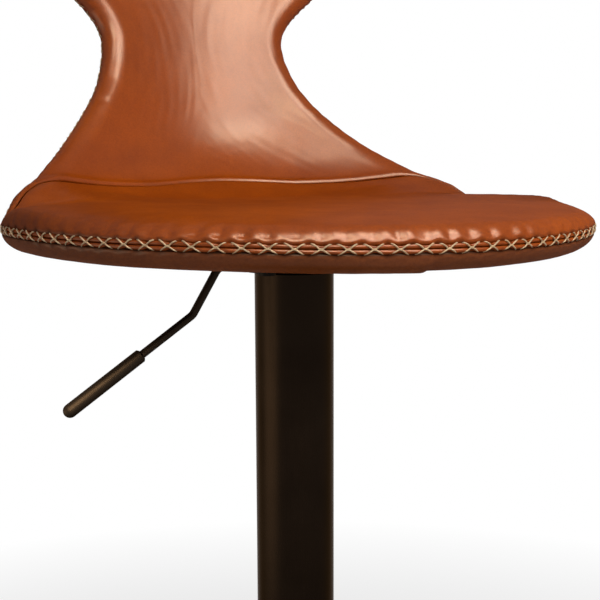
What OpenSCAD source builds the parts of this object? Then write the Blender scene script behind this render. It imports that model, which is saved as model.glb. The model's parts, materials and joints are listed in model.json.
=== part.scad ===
// Adjustable bar stool: a gas-lift column on a round base, a foot hoop, and an
// upholstered one-piece shell whose back rises out of the seat in a narrow neck.
// Origin: on the floor, on the axis of the column. The seat faces -Y and the
// release lever is at -X. The stool is drawn at its full height.

/* [Shell] */
// Width of the seat across its stitched edge
seat_w = 431; // [400:1:460]
// From the front edge to the widest line of the seat, along the shell
seat_nose = 228; // [205:1:235]
// From the column's axis to the front edge of the seat
seat_reach = 228; // [215:1:245]
// Height of the stitched edge above the floor
seam_z = 764; // [730:1:800]
// From the front edge to the start of the bend into the back
seat_flat = 308; // [295:1:320]
// Radius of the bend between the seat and the back
bend_r = 110; // [95:1:130]
// Angle between the seat and the foot of the back
back_angle = 78; // [72:1:84]
// Radius of the back's gentle backward curve
back_bow_r = 1800; // [1200:50:3000]
// Length of the shell from the front edge to the top, along the shell
shell_len = 686; // [670:1:720]
// From the front edge to the waist of the back, along the shell
waist_s = 515; // [505:1:530]
// Width of the waist
waist_w = 168; // [150:1:200]
// From the front edge to the widest line of the back, along the shell
flare_s = 616; // [606:1:628]
// Width of the back at its widest
back_w = 330; // [300:1:350]

/* [Upholstery] */
// Height of the seat cushion above its stitched edge
seat_crown = 14; // [11:0.5:18]
// Extra height of the seat cushion where it climbs to the wings
wing_crown = 5; // [0:0.5:6]
// Thickness of the padding in front of the back
back_pad_t = 12; // [9:0.5:15]
// Depth of the underside's rounded edge below the stitched edge
under_edge = 14; // [14:0.5:17]
// Extra depth of the underside at its middle
under_belly = 9.5; // [6:0.5:12]
// Depth of the padding behind the back
rear_pad_t = 13; // [12.5:0.5:15]
// Thickness of the leather
leather_t = 1.6; // [1.2:0.1:2]
// Thickness of the moulded shell board
board_t = 7; // [6:0.5:8]

/* [Column] */
// Outside diameter of the outer sleeve
sleeve_d = 60; // [56:0.5:66]
// Length of the outer sleeve
sleeve_len = 400; // [340:1:420]
// Outside diameter of the stand tube
stand_d = 50; // [48:0.5:51]
// Wall of the two tubes
tube_wall = 1.5; // [1.2:0.1:2]
// Length of the stand tube that stays inside the sleeve
tube_overlap = 75; // [70:1:110]
// Diameter of the gas cylinder
cylinder_d = 28; // [26:0.5:30]
// Diameter of the piston rod
rod_d = 10; // [8:0.5:11]

/* [Foot hoop] */
// Diameter of the tube of the hoop's bow
hoop_tube_d = 22; // [18:0.5:25]
// From the column's axis to the middle of the hoop's front
hoop_reach = 215; // [195:1:225]
// Radius of the hoop's bow
hoop_r = 152; // [135:1:165]
// Diameter of the crossbar that carries the bow
crossbar_d = 25; // [24:0.5:28]
// Height of the clamp collar
collar_h = 36; // [30:1:45]

/* [Base] */
// Diameter of the base
base_d = 420; // [380:1:460]
// Height of the base cover's neck
base_neck_h = 92; // [75:1:96]
// Thickness of the ballast plate
weight_t = 9; // [6:0.5:14]
// Height of the rubber floor ring
floor_ring_h = 4; // [3:0.5:6]

/* [Release lever] */
// Diameter of the lever's rod
lever_d = 6; // [5:0.5:6.5]
// Diameter of the lever's grip
grip_d = 10; // [8.5:0.5:14]
// Length of the grip
grip_len = 68; // [50:1:80]
// Distance of the lever's pivot from the column's axis
pivot_x = 38; // [34:0.5:42]

/* [Hidden] */

// Clearances, overruns and smoothness
fit_gap = 0.2;
slide_gap = 0.4;
soft_gap = 0.3;
overrun = 1;
smooth = 96;
small_smooth = 48;

// Angles turned into the lengths of arcs, and back
deg = 180 / PI;

// Rules of the shell's shape
nose_len = 86;
nose_r = 1100;
nose_power = 1.93;
side_drop = 5.5;
drop_power = 1.5;
wing_dish = 39.5;
back_dish = 39;
ridge_mid = 358;
ridge_edge = 276;
ridge_power = 2.2;
ridge_gap = 0.7;
nose_cut = 1.2;
top_cut = 0.6;
top_power = 2.4;
crown_reach = 30;
wing_crown_s = 250;
wing_crown_run = 80;
wing_crown_fade = 40;
back_edge_reach = 14;
under_edge_reach = 16;
rear_edge_reach = 11;
belly_reach = 115;
tuck_share = 0.08;
tuck_reach = 12;
board_inset = 19;
board_gap = 0.7;
foam_inset = leather_t + 1.8;
foam_edge = 0.8;
foam_skin = leather_t + 2 * soft_gap + foam_edge;
fade_power = 5;
fade_share = 0.8;
cols = 14;
seat_rows = 15;
back_rows = 18;
rim_steps = 44;

// How the width falls from the seat's widest line to the waist:
// share of that run, share of the width that is left to lose
neck_shares = [[0, 1], [0.15, 0.93], [0.22, 0.833], [0.3, 0.69], [0.41, 0.563], [0.6, 0.367],
               [0.78, 0.176], [0.88, 0.059], [1, 0]];
// How the wings rise out of the seat over the same run, as a share of their dish
wing_shares = [[0, 0], [0.12, 0.017], [0.15, 0.082], [0.18, 0.215], [0.21, 0.414], [0.24, 0.555],
               [0.29, 0.721], [0.41, 0.944], [0.55, 1], [0.68, 0.935], [0.79, 0.757], [0.88, 0.535],
               [1, 0.427]];
// Power of the dish across the seat, and across the back
dish_powers = [3.5, 2];

// Heights, from the seat down to the sleeve's foot
under_z = seam_z - under_edge - under_belly;
plate_t = 3;
plate_top = under_z - soft_gap;
plate_z = plate_top - plate_t;
bracket_h = 10.8;
sleeve_top = plate_z - bracket_h;
sleeve_z = sleeve_top - sleeve_len;
sleeve_bore = sleeve_d - 2 * tube_wall;

// Base and stand tube, from the floor up
weight_top = floor_ring_h + weight_t;
base_wall = 1.5;
base_rim_h = weight_top + base_wall + soft_gap;
hub_wall = 3;
hub_bore = stand_d + 2 * fit_gap;
hub_d = hub_bore + 2 * hub_wall;
ledge_t = 6;
ledge_bore = 36;
stand_z = weight_top + ledge_t;
stand_top = sleeve_z + tube_overlap;
stand_bore = stand_d - 2 * tube_wall;
stand_floor_t = 4;
hub_top = base_neck_h - 4;
trim_h = 14;
trim_wall = 3.5;
trim_z = base_neck_h + soft_gap;

// Bearing and buffer on the floor of the stand tube
race_t = 2;
ball_d = 5;
ball_count = 12;
race_d = 30;
race_bore = rod_d + 2 * slide_gap;
ball_ring_d = 21;
groove_depth = 0.6;
race_z = stand_z + stand_floor_t;
ball_z = race_z + race_t - groove_depth + ball_d / 2;
upper_race_z = ball_z + ball_d / 2 - groove_depth;
shoulder_h = 4;
shoulder_d = 17;
shoulder_z = upper_race_z + race_t;
buffer_h = 10;
buffer_d = 22;
clip_t = 1.5;
clip_d = 18;
rod_tip = 5;
rod_z = stand_z - clip_t - rod_tip;

// Gas cylinder
bush_len = 68;
bush_lip_t = 3;
cylinder_z = stand_top - bush_len - 6;
cylinder_wall = 1.8;
guide_len = 12;
piston_h = 14;
piston_z = cylinder_z + guide_len + 3;
taper_len = 60;
taper_drop = 1.6;
cylinder_top = sleeve_top - 3;
valve_d = 8;
valve_seat_depth = 24;
valve_travel = 3.3;
valve_gap = 0.4;
boss_d = 9;
lever_z = plate_z - boss_d / 2 - soft_gap;
valve_top = lever_z - lever_d / 2 - valve_gap;
valve_z = cylinder_top - valve_seat_depth + valve_travel + 1;
socket_d = 44;
socket_len = 62;
bush_h = 22;
glide_h = 15;
glide_lip_t = 3;

// Foot hoop and its clamp
hoop_wall = 2;
collar_wall = 6;
collar_bore = sleeve_d + 2 * fit_gap;
collar_d = collar_bore + 2 * collar_wall;
collar_z = sleeve_z + 24;
hoop_z = collar_z + collar_h / 2;
screw_d = 8;
screw_angle = 40;
screw_len = 10;
screw_socket = 4;
hoop_y = hoop_r - hoop_reach;
hoop_end_angle = acos(hoop_y / hoop_r);
crossbar_x = sqrt(hoop_r ^ 2 - hoop_y ^ 2);

// Lever, its bracket and its pin
bracket_t = 3;
bracket_gap = 24;
bracket_back = 24;
bracket_nose = 6;
bracket_front = pivot_x + bracket_nose;
pin_d = 4;
pin_head_d = 7;
pin_head_t = 1.5;
boss_w = 18;
lever_tip = 5;
// Corners of its run: distance from the column's axis, and height above the pivot
lever_corners = [[-lever_tip, 0], [62, 0], [83, -34], [175, -94]];
lever_bend_r = 9;
lever_bend_steps = 6;
lever_sides = 12;
grip_chamfer = 1.2;

// Seat plate and its fixings
plate_w = 160;
plate_corner_r = 16;
plate_y = -10;
hole_span = 110;
bolt_d = 6;
bolt_head_d = 12;
bolt_head_h = 4;
bolt_socket = 4;
washer_d = 14;
washer_t = 1.2;
nut_barrel_d = 8;
nut_flange_d = 19;
nut_flange_t = 1.4;
board_top = seam_z - board_gap;
board_z = board_top - board_t;
pad_depth = board_t + 2 * board_gap;

// Smooth curve through a table of places and values, level at both ends
function slope(t, i) =
    i == 0 || i == len(t) - 1 ? 0 : (t[i + 1][1] - t[i - 1][1]) / (t[i + 1][0] - t[i - 1][0]);
function span_of(t, x, i = 0) = i >= len(t) - 2 || x < t[i + 1][0] ? i : span_of(t, x, i + 1);
function curve(t, x) =
    let (u = min(max(x, t[0][0]), t[len(t) - 1][0]), i = span_of(t, u),
         h = t[i + 1][0] - t[i][0], k = (u - t[i][0]) / h)
    (2 * k ^ 3 - 3 * k ^ 2 + 1) * t[i][1] + (k ^ 3 - 2 * k ^ 2 + k) * h * slope(t, i)
    + (3 * k ^ 2 - 2 * k ^ 3) * t[i + 1][1] + (k ^ 3 - k ^ 2) * h * slope(t, i + 1);
function ease(x) = let (k = min(max(x, 0), 1)) (1 - cos(180 * k)) / 2;
// Share of its full height that a rounded edge has reached at distance e from the edge
function roll(e, reach) = e >= reach ? 1 : sqrt(1 - (1 - max(e, 0) / reach) ^ 2);

// Middle line of the shell, s along it from the front edge: [y, z, angle of rise]
function spine(s) =
    let (nose = max(nose_len - s, 0) / nose_r * deg,
         bend = min(max(s - seat_flat, 0) / bend_r * deg, back_angle),
         bow = max(s - seat_flat - bend_r * back_angle / deg, 0) / back_bow_r * deg)
    [-seat_reach + min(max(s, nose_len), seat_flat) - nose_r * sin(nose) + bend_r * sin(bend)
         + back_bow_r * (sin(back_angle) - sin(back_angle - bow)),
     seam_z - nose_r * (1 - cos(nose)) + bend_r * (1 - cos(bend))
         + back_bow_r * (cos(back_angle - bow) - cos(back_angle)),
     nose + bend - bow];

// Half the width of the shell at s, and half the width that its dish is measured over
function neck_share(s) = (s - seat_nose) / (waist_s - seat_nose);
function flare_share(s) = (s - waist_s) / (flare_s - waist_s);
function half_w(s) =
    s < seat_nose ? seat_w / 2 * max(1 - (1 - s / seat_nose) ^ nose_power, 0) ^ (1 / nose_power) :
    s < waist_s ? waist_w / 2 + (seat_w - waist_w) / 2 * curve(neck_shares, neck_share(s)) :
    s < flare_s ? waist_w / 2 + (back_w - waist_w) / 2 * ease(flare_share(s)) :
    back_w / 2 * max(1 - ((s - flare_s) / (shell_len - flare_s)) ^ top_power, 0) ^ (1 / top_power);
function dish_w(s) = s < seat_nose ? seat_w / 2 : s > flare_s ? back_w / 2 : half_w(s);
function dish_depth(s) =
    s < seat_nose ? 0 :
    s < waist_s ? wing_dish * curve(wing_shares, neck_share(s)) :
    let (low = wing_dish * wing_shares[len(wing_shares) - 1][1])
    low + (back_dish - low) * ease(flare_share(s));
function dish_power(s) =
    dish_powers[0] + (dish_powers[1] - dish_powers[0]) * ease((s - seat_flat) / bend_r);
function dish(x, s) =
    dish_depth(s) * (abs(x) / dish_w(s)) ^ dish_power(s)
    - side_drop * (x / (seat_w / 2)) ^ 2 * max(1 - s / seat_nose, 0) ^ drop_power;

// A point of the shell's middle surface, and the direction square to it
function shell_at(x, s) =
    let (m = spine(s), d = dish(x, s)) [x, m[0] - d * sin(m[2]), m[1] + d * cos(m[2])];
probe = 0.5;
function shell_dir(x, s) =
    let (n = cross(shell_at(x + probe, s) - shell_at(x - probe, s),
                   shell_at(x, s + probe) - shell_at(x, s - probe)))
    n / norm(n);
function lift_off(p, h) = shell_at(p[0], p[1]) + h * shell_dir(p[0], p[1]);

// Outline of the right half in the shell's own plane, and the distance of a point from it
rim_half = concat(
    [for (k = [0:rim_steps / 2]) let (a = 90 * k / (rim_steps / 2))
        [seat_w / 2 * sin(a) ^ (2 / nose_power), seat_nose * (1 - cos(a) ^ (2 / nose_power))]],
    [for (k = [1:rim_steps]) let (s = seat_nose + (shell_len - seat_nose) * sin(90 * k / rim_steps))
        [half_w(s), s]]);
function to_line(p, a, b) =
    let (d = b - a, k = min(max((p - a) * d / (d * d), 0), 1)) norm(p - a - k * d);
function rim_dist(p) =
    min([for (k = [0:len(rim_half) - 2]) to_line([abs(p[0]), p[1]], rim_half[k], rim_half[k + 1])]);

// The seam between the seat and the back panels: its place over x
function ridge_at(x) =
    ridge_mid - (ridge_mid - ridge_edge) * (abs(x) / half_w(ridge_edge)) ^ ridge_power;

// Heights of the outer leather above and below the middle surface
function tuck(d) = 1 - tuck_share * (1 - roll(d, tuck_reach));
function swell(p) =
    wing_crown * (abs(p[0]) / (seat_w / 2)) ^ 2 * exp(-((p[1] - wing_crown_s) / wing_crown_run) ^ 2)
    * roll(ridge_at(p[0]) - p[1], wing_crown_fade);
function seat_rise(p, crown) =
    (crown + swell(p)) * roll(rim_dist(p), crown_reach) * tuck(ridge_at(p[0]) - p[1]);
function back_rise(p, crown) =
    crown * roll(rim_dist(p), back_edge_reach) * tuck(p[1] - ridge_at(p[0]));
function under_drop(p, skin) =
    let (e = rim_dist(p), k = ease((p[1] - seat_flat) / bend_r))
    (1 - k) * ((under_edge - skin) * roll(e, under_edge_reach) + under_belly * min(e / belly_reach, 1))
    + k * (rear_pad_t - skin) * roll(e, rear_edge_reach);

// Rows of the grid: each is [s at the middle, s at the edge]
function crowd(k, n) = (1 - cos(180 * k / n)) / 2;
seat_lines = [for (k = [0:seat_rows]) let (v = crowd(k, seat_rows))
    [nose_cut + (ridge_mid - ridge_gap - nose_cut) * v,
     nose_cut + (ridge_edge - ridge_gap - nose_cut) * v]];
back_lines = [for (k = [0:back_rows]) let (v = crowd(k, back_rows), top = shell_len - top_cut)
    [ridge_mid + ridge_gap + (top - ridge_mid - ridge_gap) * v,
     ridge_edge + ridge_gap + (top - ridge_edge - ridge_gap) * v]];
all_lines = concat(seat_lines, [for (k = [1:back_rows]) back_lines[k]]);
function across(j) = sin(90 * (2 * j / cols - 1));
function on_line(line, x) =
    line[1] + (line[0] - line[1]) * (1 - min(abs(x) / half_w(line[1]), 1) ^ ridge_power);
function spot(line, j) = let (x = half_w(line[1]) * across(j)) [x, on_line(line, x)];
// The same spot on a layer whose rim is drawn in: the shift fades out towards the middle
function faded(share, power) = sign(share) * abs(share) ^ power;
function drawn_in(p, line, inset) =
    let (w = half_w(line[1]),
         power = inset == 0 ? 1 : min(max(fade_share * w / inset, 1), fade_power),
         x = p[0] - inset * faded(p[0] / w, power), s = on_line(line, x))
    [x, s + inset * faded(1 - 2 * s / shell_len, fade_power)];
// A sheet over the rows of lines, drawn in from the rim, at the height that rise gives
function sheet(lines, inset, rise) =
    [for (line = lines) [for (j = [0:cols])
        let (p = spot(line, j)) lift_off(drawn_in(p, line, inset), rise(p))]];

// Closed solid between two sheets, through any loops of points between their rims
function flat(rows) = [for (r = rows) each r];
function rim_ids(n) = concat(
    [for (j = [0:cols]) j],
    [for (k = [1:n - 1]) k * (cols + 1) + cols],
    [for (j = [cols - 1:-1:0]) (n - 1) * (cols + 1) + j],
    [for (k = [n - 2:-1:1]) k * (cols + 1)]);
function rim_loop(rows) = let (all = flat(rows)) [for (i = rim_ids(len(rows))) all[i]];
// (crossed turns the diagonals of the last strip, so that they match a neighbour's)
module slab(upper, lower, loops = [], crossed = false) {
    n = len(upper);
    w = cols + 1;
    ids = rim_ids(n);
    size = len(ids);
    rings = concat([ids],
                   [for (k = [0:1:len(loops) - 1]) [for (i = [0:size - 1]) 2 * n * w + k * size + i]],
                   [[for (i = ids) n * w + i]]);
    polyhedron(
        points = concat(flat(upper), flat(lower), flat(loops)),
        faces = concat(
            [for (k = [0:n - 2]) for (j = [0:cols - 1]) let (a = k * w + j)
                each [[a, a + w, a + w + 1], [a, a + w + 1, a + 1]]],
            [for (k = [0:n - 2]) for (j = [0:cols - 1]) let (a = (n + k) * w + j)
                each [[a, a + w + 1, a + w], [a, a + 1, a + w + 1]]],
            [for (r = [0:len(rings) - 2]) for (i = [0:size - 1])
                let (j = (i + 1) % size, a = rings[r], b = rings[r + 1])
                each crossed && r == len(rings) - 2 ?
                    [[a[i], a[j], b[i]], [a[j], b[j], b[i]]] :
                    [[a[i], a[j], b[j]], [a[i], b[j], b[i]]]]),
        convexity = 8);
}

// Plain shapes that repeat
module rod(d, h) cylinder(d = d, h = h, $fn = d > boss_d ? smooth : small_smooth);
module pipe(d, bore, h) difference() {
    rod(d, h);
    translate([0, 0, -overrun]) rod(bore, h + 2 * overrun);
}
module at_holes(z) for (x = [-1, 1], y = [-1, 1])
    translate([x * hole_span / 2, plate_y + y * hole_span / 2, z]) children();

// Floor ring: rubber, under the rim of the ballast plate
module floor_ring() color("#1b1a19")
    pipe(base_d - 2 * base_wall - 2 * fit_gap, base_d - 2 * base_wall - 2 * fit_gap - 36, floor_ring_h);

// Ballast plate: a thick steel disc with a bevelled edge
module base_weight() color("#3a3a3a")
    translate([0, 0, floor_ring_h]) rotate_extrude($fn = smooth) {
        r = base_d / 2 - base_wall - fit_gap;
        polygon([[ledge_bore / 2, 0], [r, 0], [r, weight_t / 3], [r - weight_t * 2 / 3, weight_t],
                 [ledge_bore / 2, weight_t]]);
    }

// Base cover: a spun steel disc that sweeps up to a neck round the hub
base_flare_power = 3.4;
base_cover_steps = 22;
function flare_z(r, drop) =
    let (r0 = hub_d / 2 + soft_gap, k = (base_d / 2 - r) / (base_d / 2 - r0))
    base_rim_h + (base_neck_h - base_rim_h) * max(k, 0) ^ base_flare_power - drop;
module base_cover() color("#2b2017") rotate_extrude($fn = smooth) {
    r0 = hub_d / 2 + soft_gap;
    r1 = base_d / 2;
    run = [for (k = [0:base_cover_steps])
        r0 + base_wall + (r1 - r0 - base_wall) * (k / base_cover_steps) ^ 1.6];
    polygon(concat(
        [[r0, base_neck_h]],
        [for (r = run) [r, flare_z(max(r - base_wall, r0), 0)]],
        [[r1, floor_ring_h / 2], [r1 - base_wall, floor_ring_h / 2]],
        [for (k = [base_cover_steps:-1:0]) let (r = max(run[k] - base_wall, r0))
            [r, flare_z(r, base_wall)]]));
}

// Hub: the socket that holds the stand tube, with a ledge under the tube
module base_hub() color("#3a3a3a") translate([0, 0, weight_top]) difference() {
    rod(hub_d, hub_top - weight_top);
    translate([0, 0, -overrun]) rod(ledge_bore, ledge_t + 2 * overrun);
    translate([0, 0, ledge_t]) rod(hub_bore, hub_top);
}

// Trim collar that closes the gap between the base cover's neck and the tube
module hub_collar() color("#2b2017") translate([0, 0, trim_z]) rotate_extrude($fn = smooth) {
    r = stand_d / 2 + fit_gap;
    polygon([[r, 0], [hub_d / 2 + base_wall, 0], [hub_d / 2 + base_wall, trim_h / 3],
             [r + trim_wall / 2, trim_h], [r, trim_h]]);
}

// Stand tube with its welded floor
module stand_tube() color("#8d8d8d") translate([0, 0, stand_z]) difference() {
    rod(stand_d, stand_top - stand_z);
    translate([0, 0, stand_floor_t]) rod(stand_bore, stand_top);
    translate([0, 0, -overrun]) rod(race_bore, stand_floor_t + 2 * overrun);
}

// Plastic bush in the mouth of the stand tube, which guides the gas cylinder
module guide_bush() color("#22211f") translate([0, 0, stand_top]) difference() {
    union() {
        rod(stand_d, bush_lip_t);
        translate([0, 0, -bush_len]) rod(stand_bore - 2 * fit_gap, bush_len);
    }
    translate([0, 0, -bush_len - overrun])
        rod(cylinder_d + 2 * slide_gap, bush_len + bush_lip_t + 2 * overrun);
}

// Thrust bearing: two races with a ball groove each, and the balls between them
module race() difference() {
    pipe(race_d, race_bore, race_t);
    translate([0, 0, race_t - groove_depth + ball_d / 2]) rotate_extrude($fn = smooth)
        translate([ball_ring_d / 2, 0]) circle(d = ball_d + fit_gap, $fn = small_smooth);
}
module bearing_lower_race() color("#b9bcc0") translate([0, 0, race_z]) race();
module bearing_upper_race() color("#b9bcc0")
    translate([0, 0, upper_race_z + race_t]) mirror([0, 0, 1]) race();
module bearing_balls() color("#d6d8da") for (k = [0:ball_count - 1])
    rotate([0, 0, 360 * k / ball_count]) translate([ball_ring_d / 2, 0, ball_z])
        sphere(d = ball_d, $fn = small_smooth);

// Piston rod with the shoulder that stands on the bearing, and the clip's groove
module piston_rod() color("#c9ccd0") difference() {
    union() {
        translate([0, 0, rod_z]) rod(rod_d, piston_z + piston_h - rod_z);
        translate([0, 0, shoulder_z]) rod(shoulder_d, shoulder_h);
    }
    translate([0, 0, rod_z + rod_tip]) pipe(rod_d + overrun, rod_d - 2, clip_t);
}
// Spring clip under the floor of the stand tube
module rod_clip() color("#55585c") translate([0, 0, rod_z + rod_tip + fit_gap / 2])
    difference() {
        pipe(clip_d, rod_d - 2 + fit_gap, clip_t - fit_gap);
        translate([0, -rod_d / 4, -overrun]) cube([clip_d, rod_d / 2, clip_t + 2 * overrun]);
    }
module rod_buffer() color("#1b1a19") translate([0, 0, shoulder_z + shoulder_h])
    pipe(buffer_d, rod_d + 2 * fit_gap, buffer_h);
// Piston with its ring groove
module piston() color("#77797c") translate([0, 0, piston_z]) {
    d = cylinder_d - 2 * cylinder_wall - 2 * slide_gap;
    difference() {
        pipe(d, rod_d + fit_gap, piston_h);
        translate([0, 0, piston_h / 2]) rotate_extrude($fn = smooth)
            translate([d / 2, 0]) circle(d = piston_h / 5, $fn = small_smooth);
    }
}

// Gas cylinder: a straight tube with a tapered top that holds the valve
module gas_cylinder() color("#26241f") difference() {
    union() {
        translate([0, 0, cylinder_z]) rod(cylinder_d, cylinder_top - taper_len - cylinder_z);
        translate([0, 0, cylinder_top - taper_len])
            cylinder(d1 = cylinder_d, d2 = cylinder_d - taper_drop, h = taper_len, $fn = smooth);
    }
    translate([0, 0, cylinder_z - overrun])
        rod(cylinder_d - 2 * cylinder_wall, cylinder_top - taper_len - cylinder_z);
    translate([0, 0, cylinder_top - valve_seat_depth])
        rod(valve_d + 2 * fit_gap, valve_seat_depth + overrun);
}
module rod_guide() color("#22211f") translate([0, 0, cylinder_z])
    pipe(cylinder_d - 2 * cylinder_wall - fit_gap, rod_d + 2 * fit_gap, guide_len);
// Valve pin that the lever presses down
module valve_pin() color("#d0b15a") translate([0, 0, valve_z]) rod(valve_d, valve_top - valve_z);

// Tapered socket that grips the gas cylinder under the seat plate
module taper_socket() color("#3a3a3a") difference() {
    translate([0, 0, sleeve_top - socket_len]) rod(socket_d, socket_len);
    translate([0, 0, cylinder_top - taper_len]) cylinder(d1 = cylinder_d + fit_gap,
        d2 = cylinder_d - taper_drop + fit_gap, h = taper_len, $fn = smooth);
    translate([0, 0, sleeve_top - socket_len - overrun])
        rod(cylinder_d + fit_gap, socket_len - taper_len + sleeve_top - cylinder_top + overrun);
    translate([0, 0, cylinder_top - overrun])
        rod(cylinder_d - taper_drop + fit_gap, sleeve_top - cylinder_top + 2 * overrun);
}

// Outer sleeve that rises and falls with the seat, with its rims eased
rim_ease = 0.5;
module outer_sleeve() color("#2b2017") translate([0, 0, sleeve_z]) rotate_extrude($fn = smooth)
    polygon([[sleeve_bore / 2, 0], [sleeve_d / 2 - rim_ease, 0], [sleeve_d / 2, rim_ease],
             [sleeve_d / 2, sleeve_len - rim_ease], [sleeve_d / 2 - rim_ease, sleeve_len],
             [sleeve_bore / 2, sleeve_len]]);
module sleeve_bush() color("#22211f") translate([0, 0, sleeve_top - bush_h])
    pipe(sleeve_bore - 2 * fit_gap, socket_d + 2 * fit_gap, bush_h);
// Glide ring in the foot of the sleeve, which runs on the stand tube
module sleeve_glide() color("#22211f") translate([0, 0, sleeve_z]) difference() {
    union() {
        rod(sleeve_bore - 2 * fit_gap, glide_h);
        translate([0, 0, -glide_lip_t]) rod(sleeve_d, glide_lip_t);
    }
    translate([0, 0, -glide_lip_t - overrun])
        rod(stand_d + 2 * slide_gap, glide_h + glide_lip_t + 2 * overrun);
}

// Clamp collar of the foot hoop, with two threaded holes at the back
module at_screws() for (side = [-1, 1]) rotate([0, 0, 90 + side * screw_angle])
    translate([0, 0, hoop_z]) rotate([0, 90, 0]) children();
module foot_collar() color("#2b2017") difference() {
    translate([0, 0, collar_z]) rotate_extrude($fn = smooth)
        polygon([[collar_bore / 2, 0], [collar_d / 2 - overrun, 0], [collar_d / 2, overrun],
                 [collar_d / 2, collar_h - overrun], [collar_d / 2 - overrun, collar_h],
                 [collar_bore / 2, collar_h]]);
    at_screws() rod(screw_d + fit_gap, collar_d);
}
module foot_screws() color("#4a4a4a") at_screws() translate([0, 0, sleeve_d / 2 + fit_gap])
    difference() {
        rod(screw_d, screw_len);
        translate([0, 0, screw_len - screw_socket])
            cylinder(d = screw_d / 2, h = screw_socket + overrun, $fn = 6);
    }

// Foot hoop: a bowed tube whose two ends are let into a crossbar with domed caps
module hoop_bow(d) translate([0, hoop_y, 0]) rotate([0, 0, -90 - hoop_end_angle])
    rotate_extrude(angle = 2 * hoop_end_angle, $fn = smooth)
        translate([hoop_r, 0]) circle(d = d, $fn = small_smooth);
module hoop_bars(d) for (side = [-1, 1])
    translate([side * collar_bore / 2, 0, 0]) rotate([0, side * 90, 0])
        rod(d, crossbar_x - collar_bore / 2);
module foot_hoop() color("#2b2017") translate([0, 0, hoop_z]) difference() {
    union() {
        hoop_bow(hoop_tube_d);
        hoop_bars(crossbar_d);
        for (side = [-1, 1]) translate([side * crossbar_x, 0, 0]) sphere(d = crossbar_d, $fn = smooth);
    }
    hoop_bow(hoop_tube_d - 2 * hoop_wall);
    hoop_bars(crossbar_d - 2 * hoop_wall);
    translate([0, 0, -collar_h]) rod(collar_d + 2 * fit_gap, 2 * collar_h);
}

// Bracket between the socket and the seat plate, with the lever between its cheeks
module cheek() rotate([90, 0, 0]) linear_extrude(bracket_t, center = true) polygon([
    [-bracket_front, plate_z], [-bracket_front, lever_z - pin_d], [-sleeve_d / 2, sleeve_top],
    [bracket_back, sleeve_top], [bracket_back, plate_z]]);
module lever_bracket() color("#3a3a3a") difference() {
    for (side = [-1, 1]) translate([0, side * (bracket_gap + bracket_t) / 2, 0]) cheek();
    translate([-pivot_x, bracket_gap, lever_z]) rotate([90, 0, 0]) rod(pin_d + fit_gap, 2 * bracket_gap);
}
module lever_pin() color("#8d8d8d") translate([-pivot_x, 0, lever_z]) rotate([90, 0, 0]) {
    half = bracket_gap / 2 + bracket_t + fit_gap / 2;
    translate([0, 0, -half]) rod(pin_d, 2 * half);
    for (side = [0, 1]) mirror([0, 0, side]) translate([0, 0, half]) rod(pin_head_d, pin_head_t);
}

// Release lever: a bent rod with a boss on the pivot, and its grip
function unit(v) = v / norm(v);
function bend_at(i) =
    let (u = unit(lever_corners[i] - lever_corners[i - 1]),
         w = unit(lever_corners[i + 1] - lever_corners[i]),
         turn = acos(u * w), side = sign(u[0] * w[1] - u[1] * w[0]),
         back = lever_bend_r * tan(turn / 2),
         centre = lever_corners[i] - back * u + side * lever_bend_r * [-u[1], u[0]])
    [for (k = [0:lever_bend_steps]) let (a = side * turn * k / lever_bend_steps)
        centre + side * lever_bend_r * [u[1] * cos(a) + u[0] * sin(a), u[1] * sin(a) - u[0] * cos(a)]];
lever_path = concat([lever_corners[0]], bend_at(1), bend_at(2), [lever_corners[3]]);
function lever_at(i) = [-lever_path[i][0], 0, lever_z + lever_path[i][1]];
lever_end = len(lever_path) - 1;
function lever_heading(i) =
    unit(lever_path[min(i + 1, lever_end)] - lever_path[max(i - 1, 0)]);
module lever_rod() polyhedron(
    points = [for (i = [0:lever_end]) for (k = [0:lever_sides - 1])
        let (h = lever_heading(i), a = 360 * k / lever_sides)
        lever_at(i) + lever_d / 2 * [h[1] * cos(a), sin(a), h[0] * cos(a)]],
    faces = concat(
        [[for (k = [0:lever_sides - 1]) k]],
        [[for (k = [lever_sides - 1:-1:0]) lever_end * lever_sides + k]],
        [for (i = [0:lever_end - 1]) for (k = [0:lever_sides - 1])
            let (a = i * lever_sides + k, b = i * lever_sides + (k + 1) % lever_sides)
            each [[a, a + lever_sides, b + lever_sides], [a, b + lever_sides, b]]]),
    convexity = 8);
module along(a, b) let (d = b - a)
    translate(a) rotate([0, atan2(norm([d[0], d[1]]), d[2]), atan2(d[1], d[0])]) children();
module release_lever() color("#2b2017") difference() {
    union() {
        lever_rod();
        translate([-pivot_x, boss_w / 2, lever_z]) rotate([90, 0, 0]) rod(boss_d, boss_w);
    }
    translate([-pivot_x, boss_w, lever_z]) rotate([90, 0, 0]) rod(pin_d + 2 * fit_gap, 2 * boss_w);
}
module lever_grip() color("#2b2017") {
    run = norm(lever_at(lever_end) - lever_at(lever_end - 1));
    straight = grip_len - grip_d / 2;
    along(lever_at(lever_end - 1), lever_at(lever_end)) translate([0, 0, run - straight + fit_gap])
        difference() {
            rotate_extrude($fn = small_smooth) {
                polygon([[0, 0], [grip_d / 2 - grip_chamfer, 0], [grip_d / 2, grip_chamfer],
                         [grip_d / 2, straight], [0, straight]]);
                intersection() {
                    translate([0, straight]) circle(d = grip_d, $fn = small_smooth);
                    square([grip_d, grip_len + grip_d]);
                }
            }
            translate([0, 0, -overrun]) rod(lever_d + 2 * fit_gap, straight + overrun);
        }
}

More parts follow.
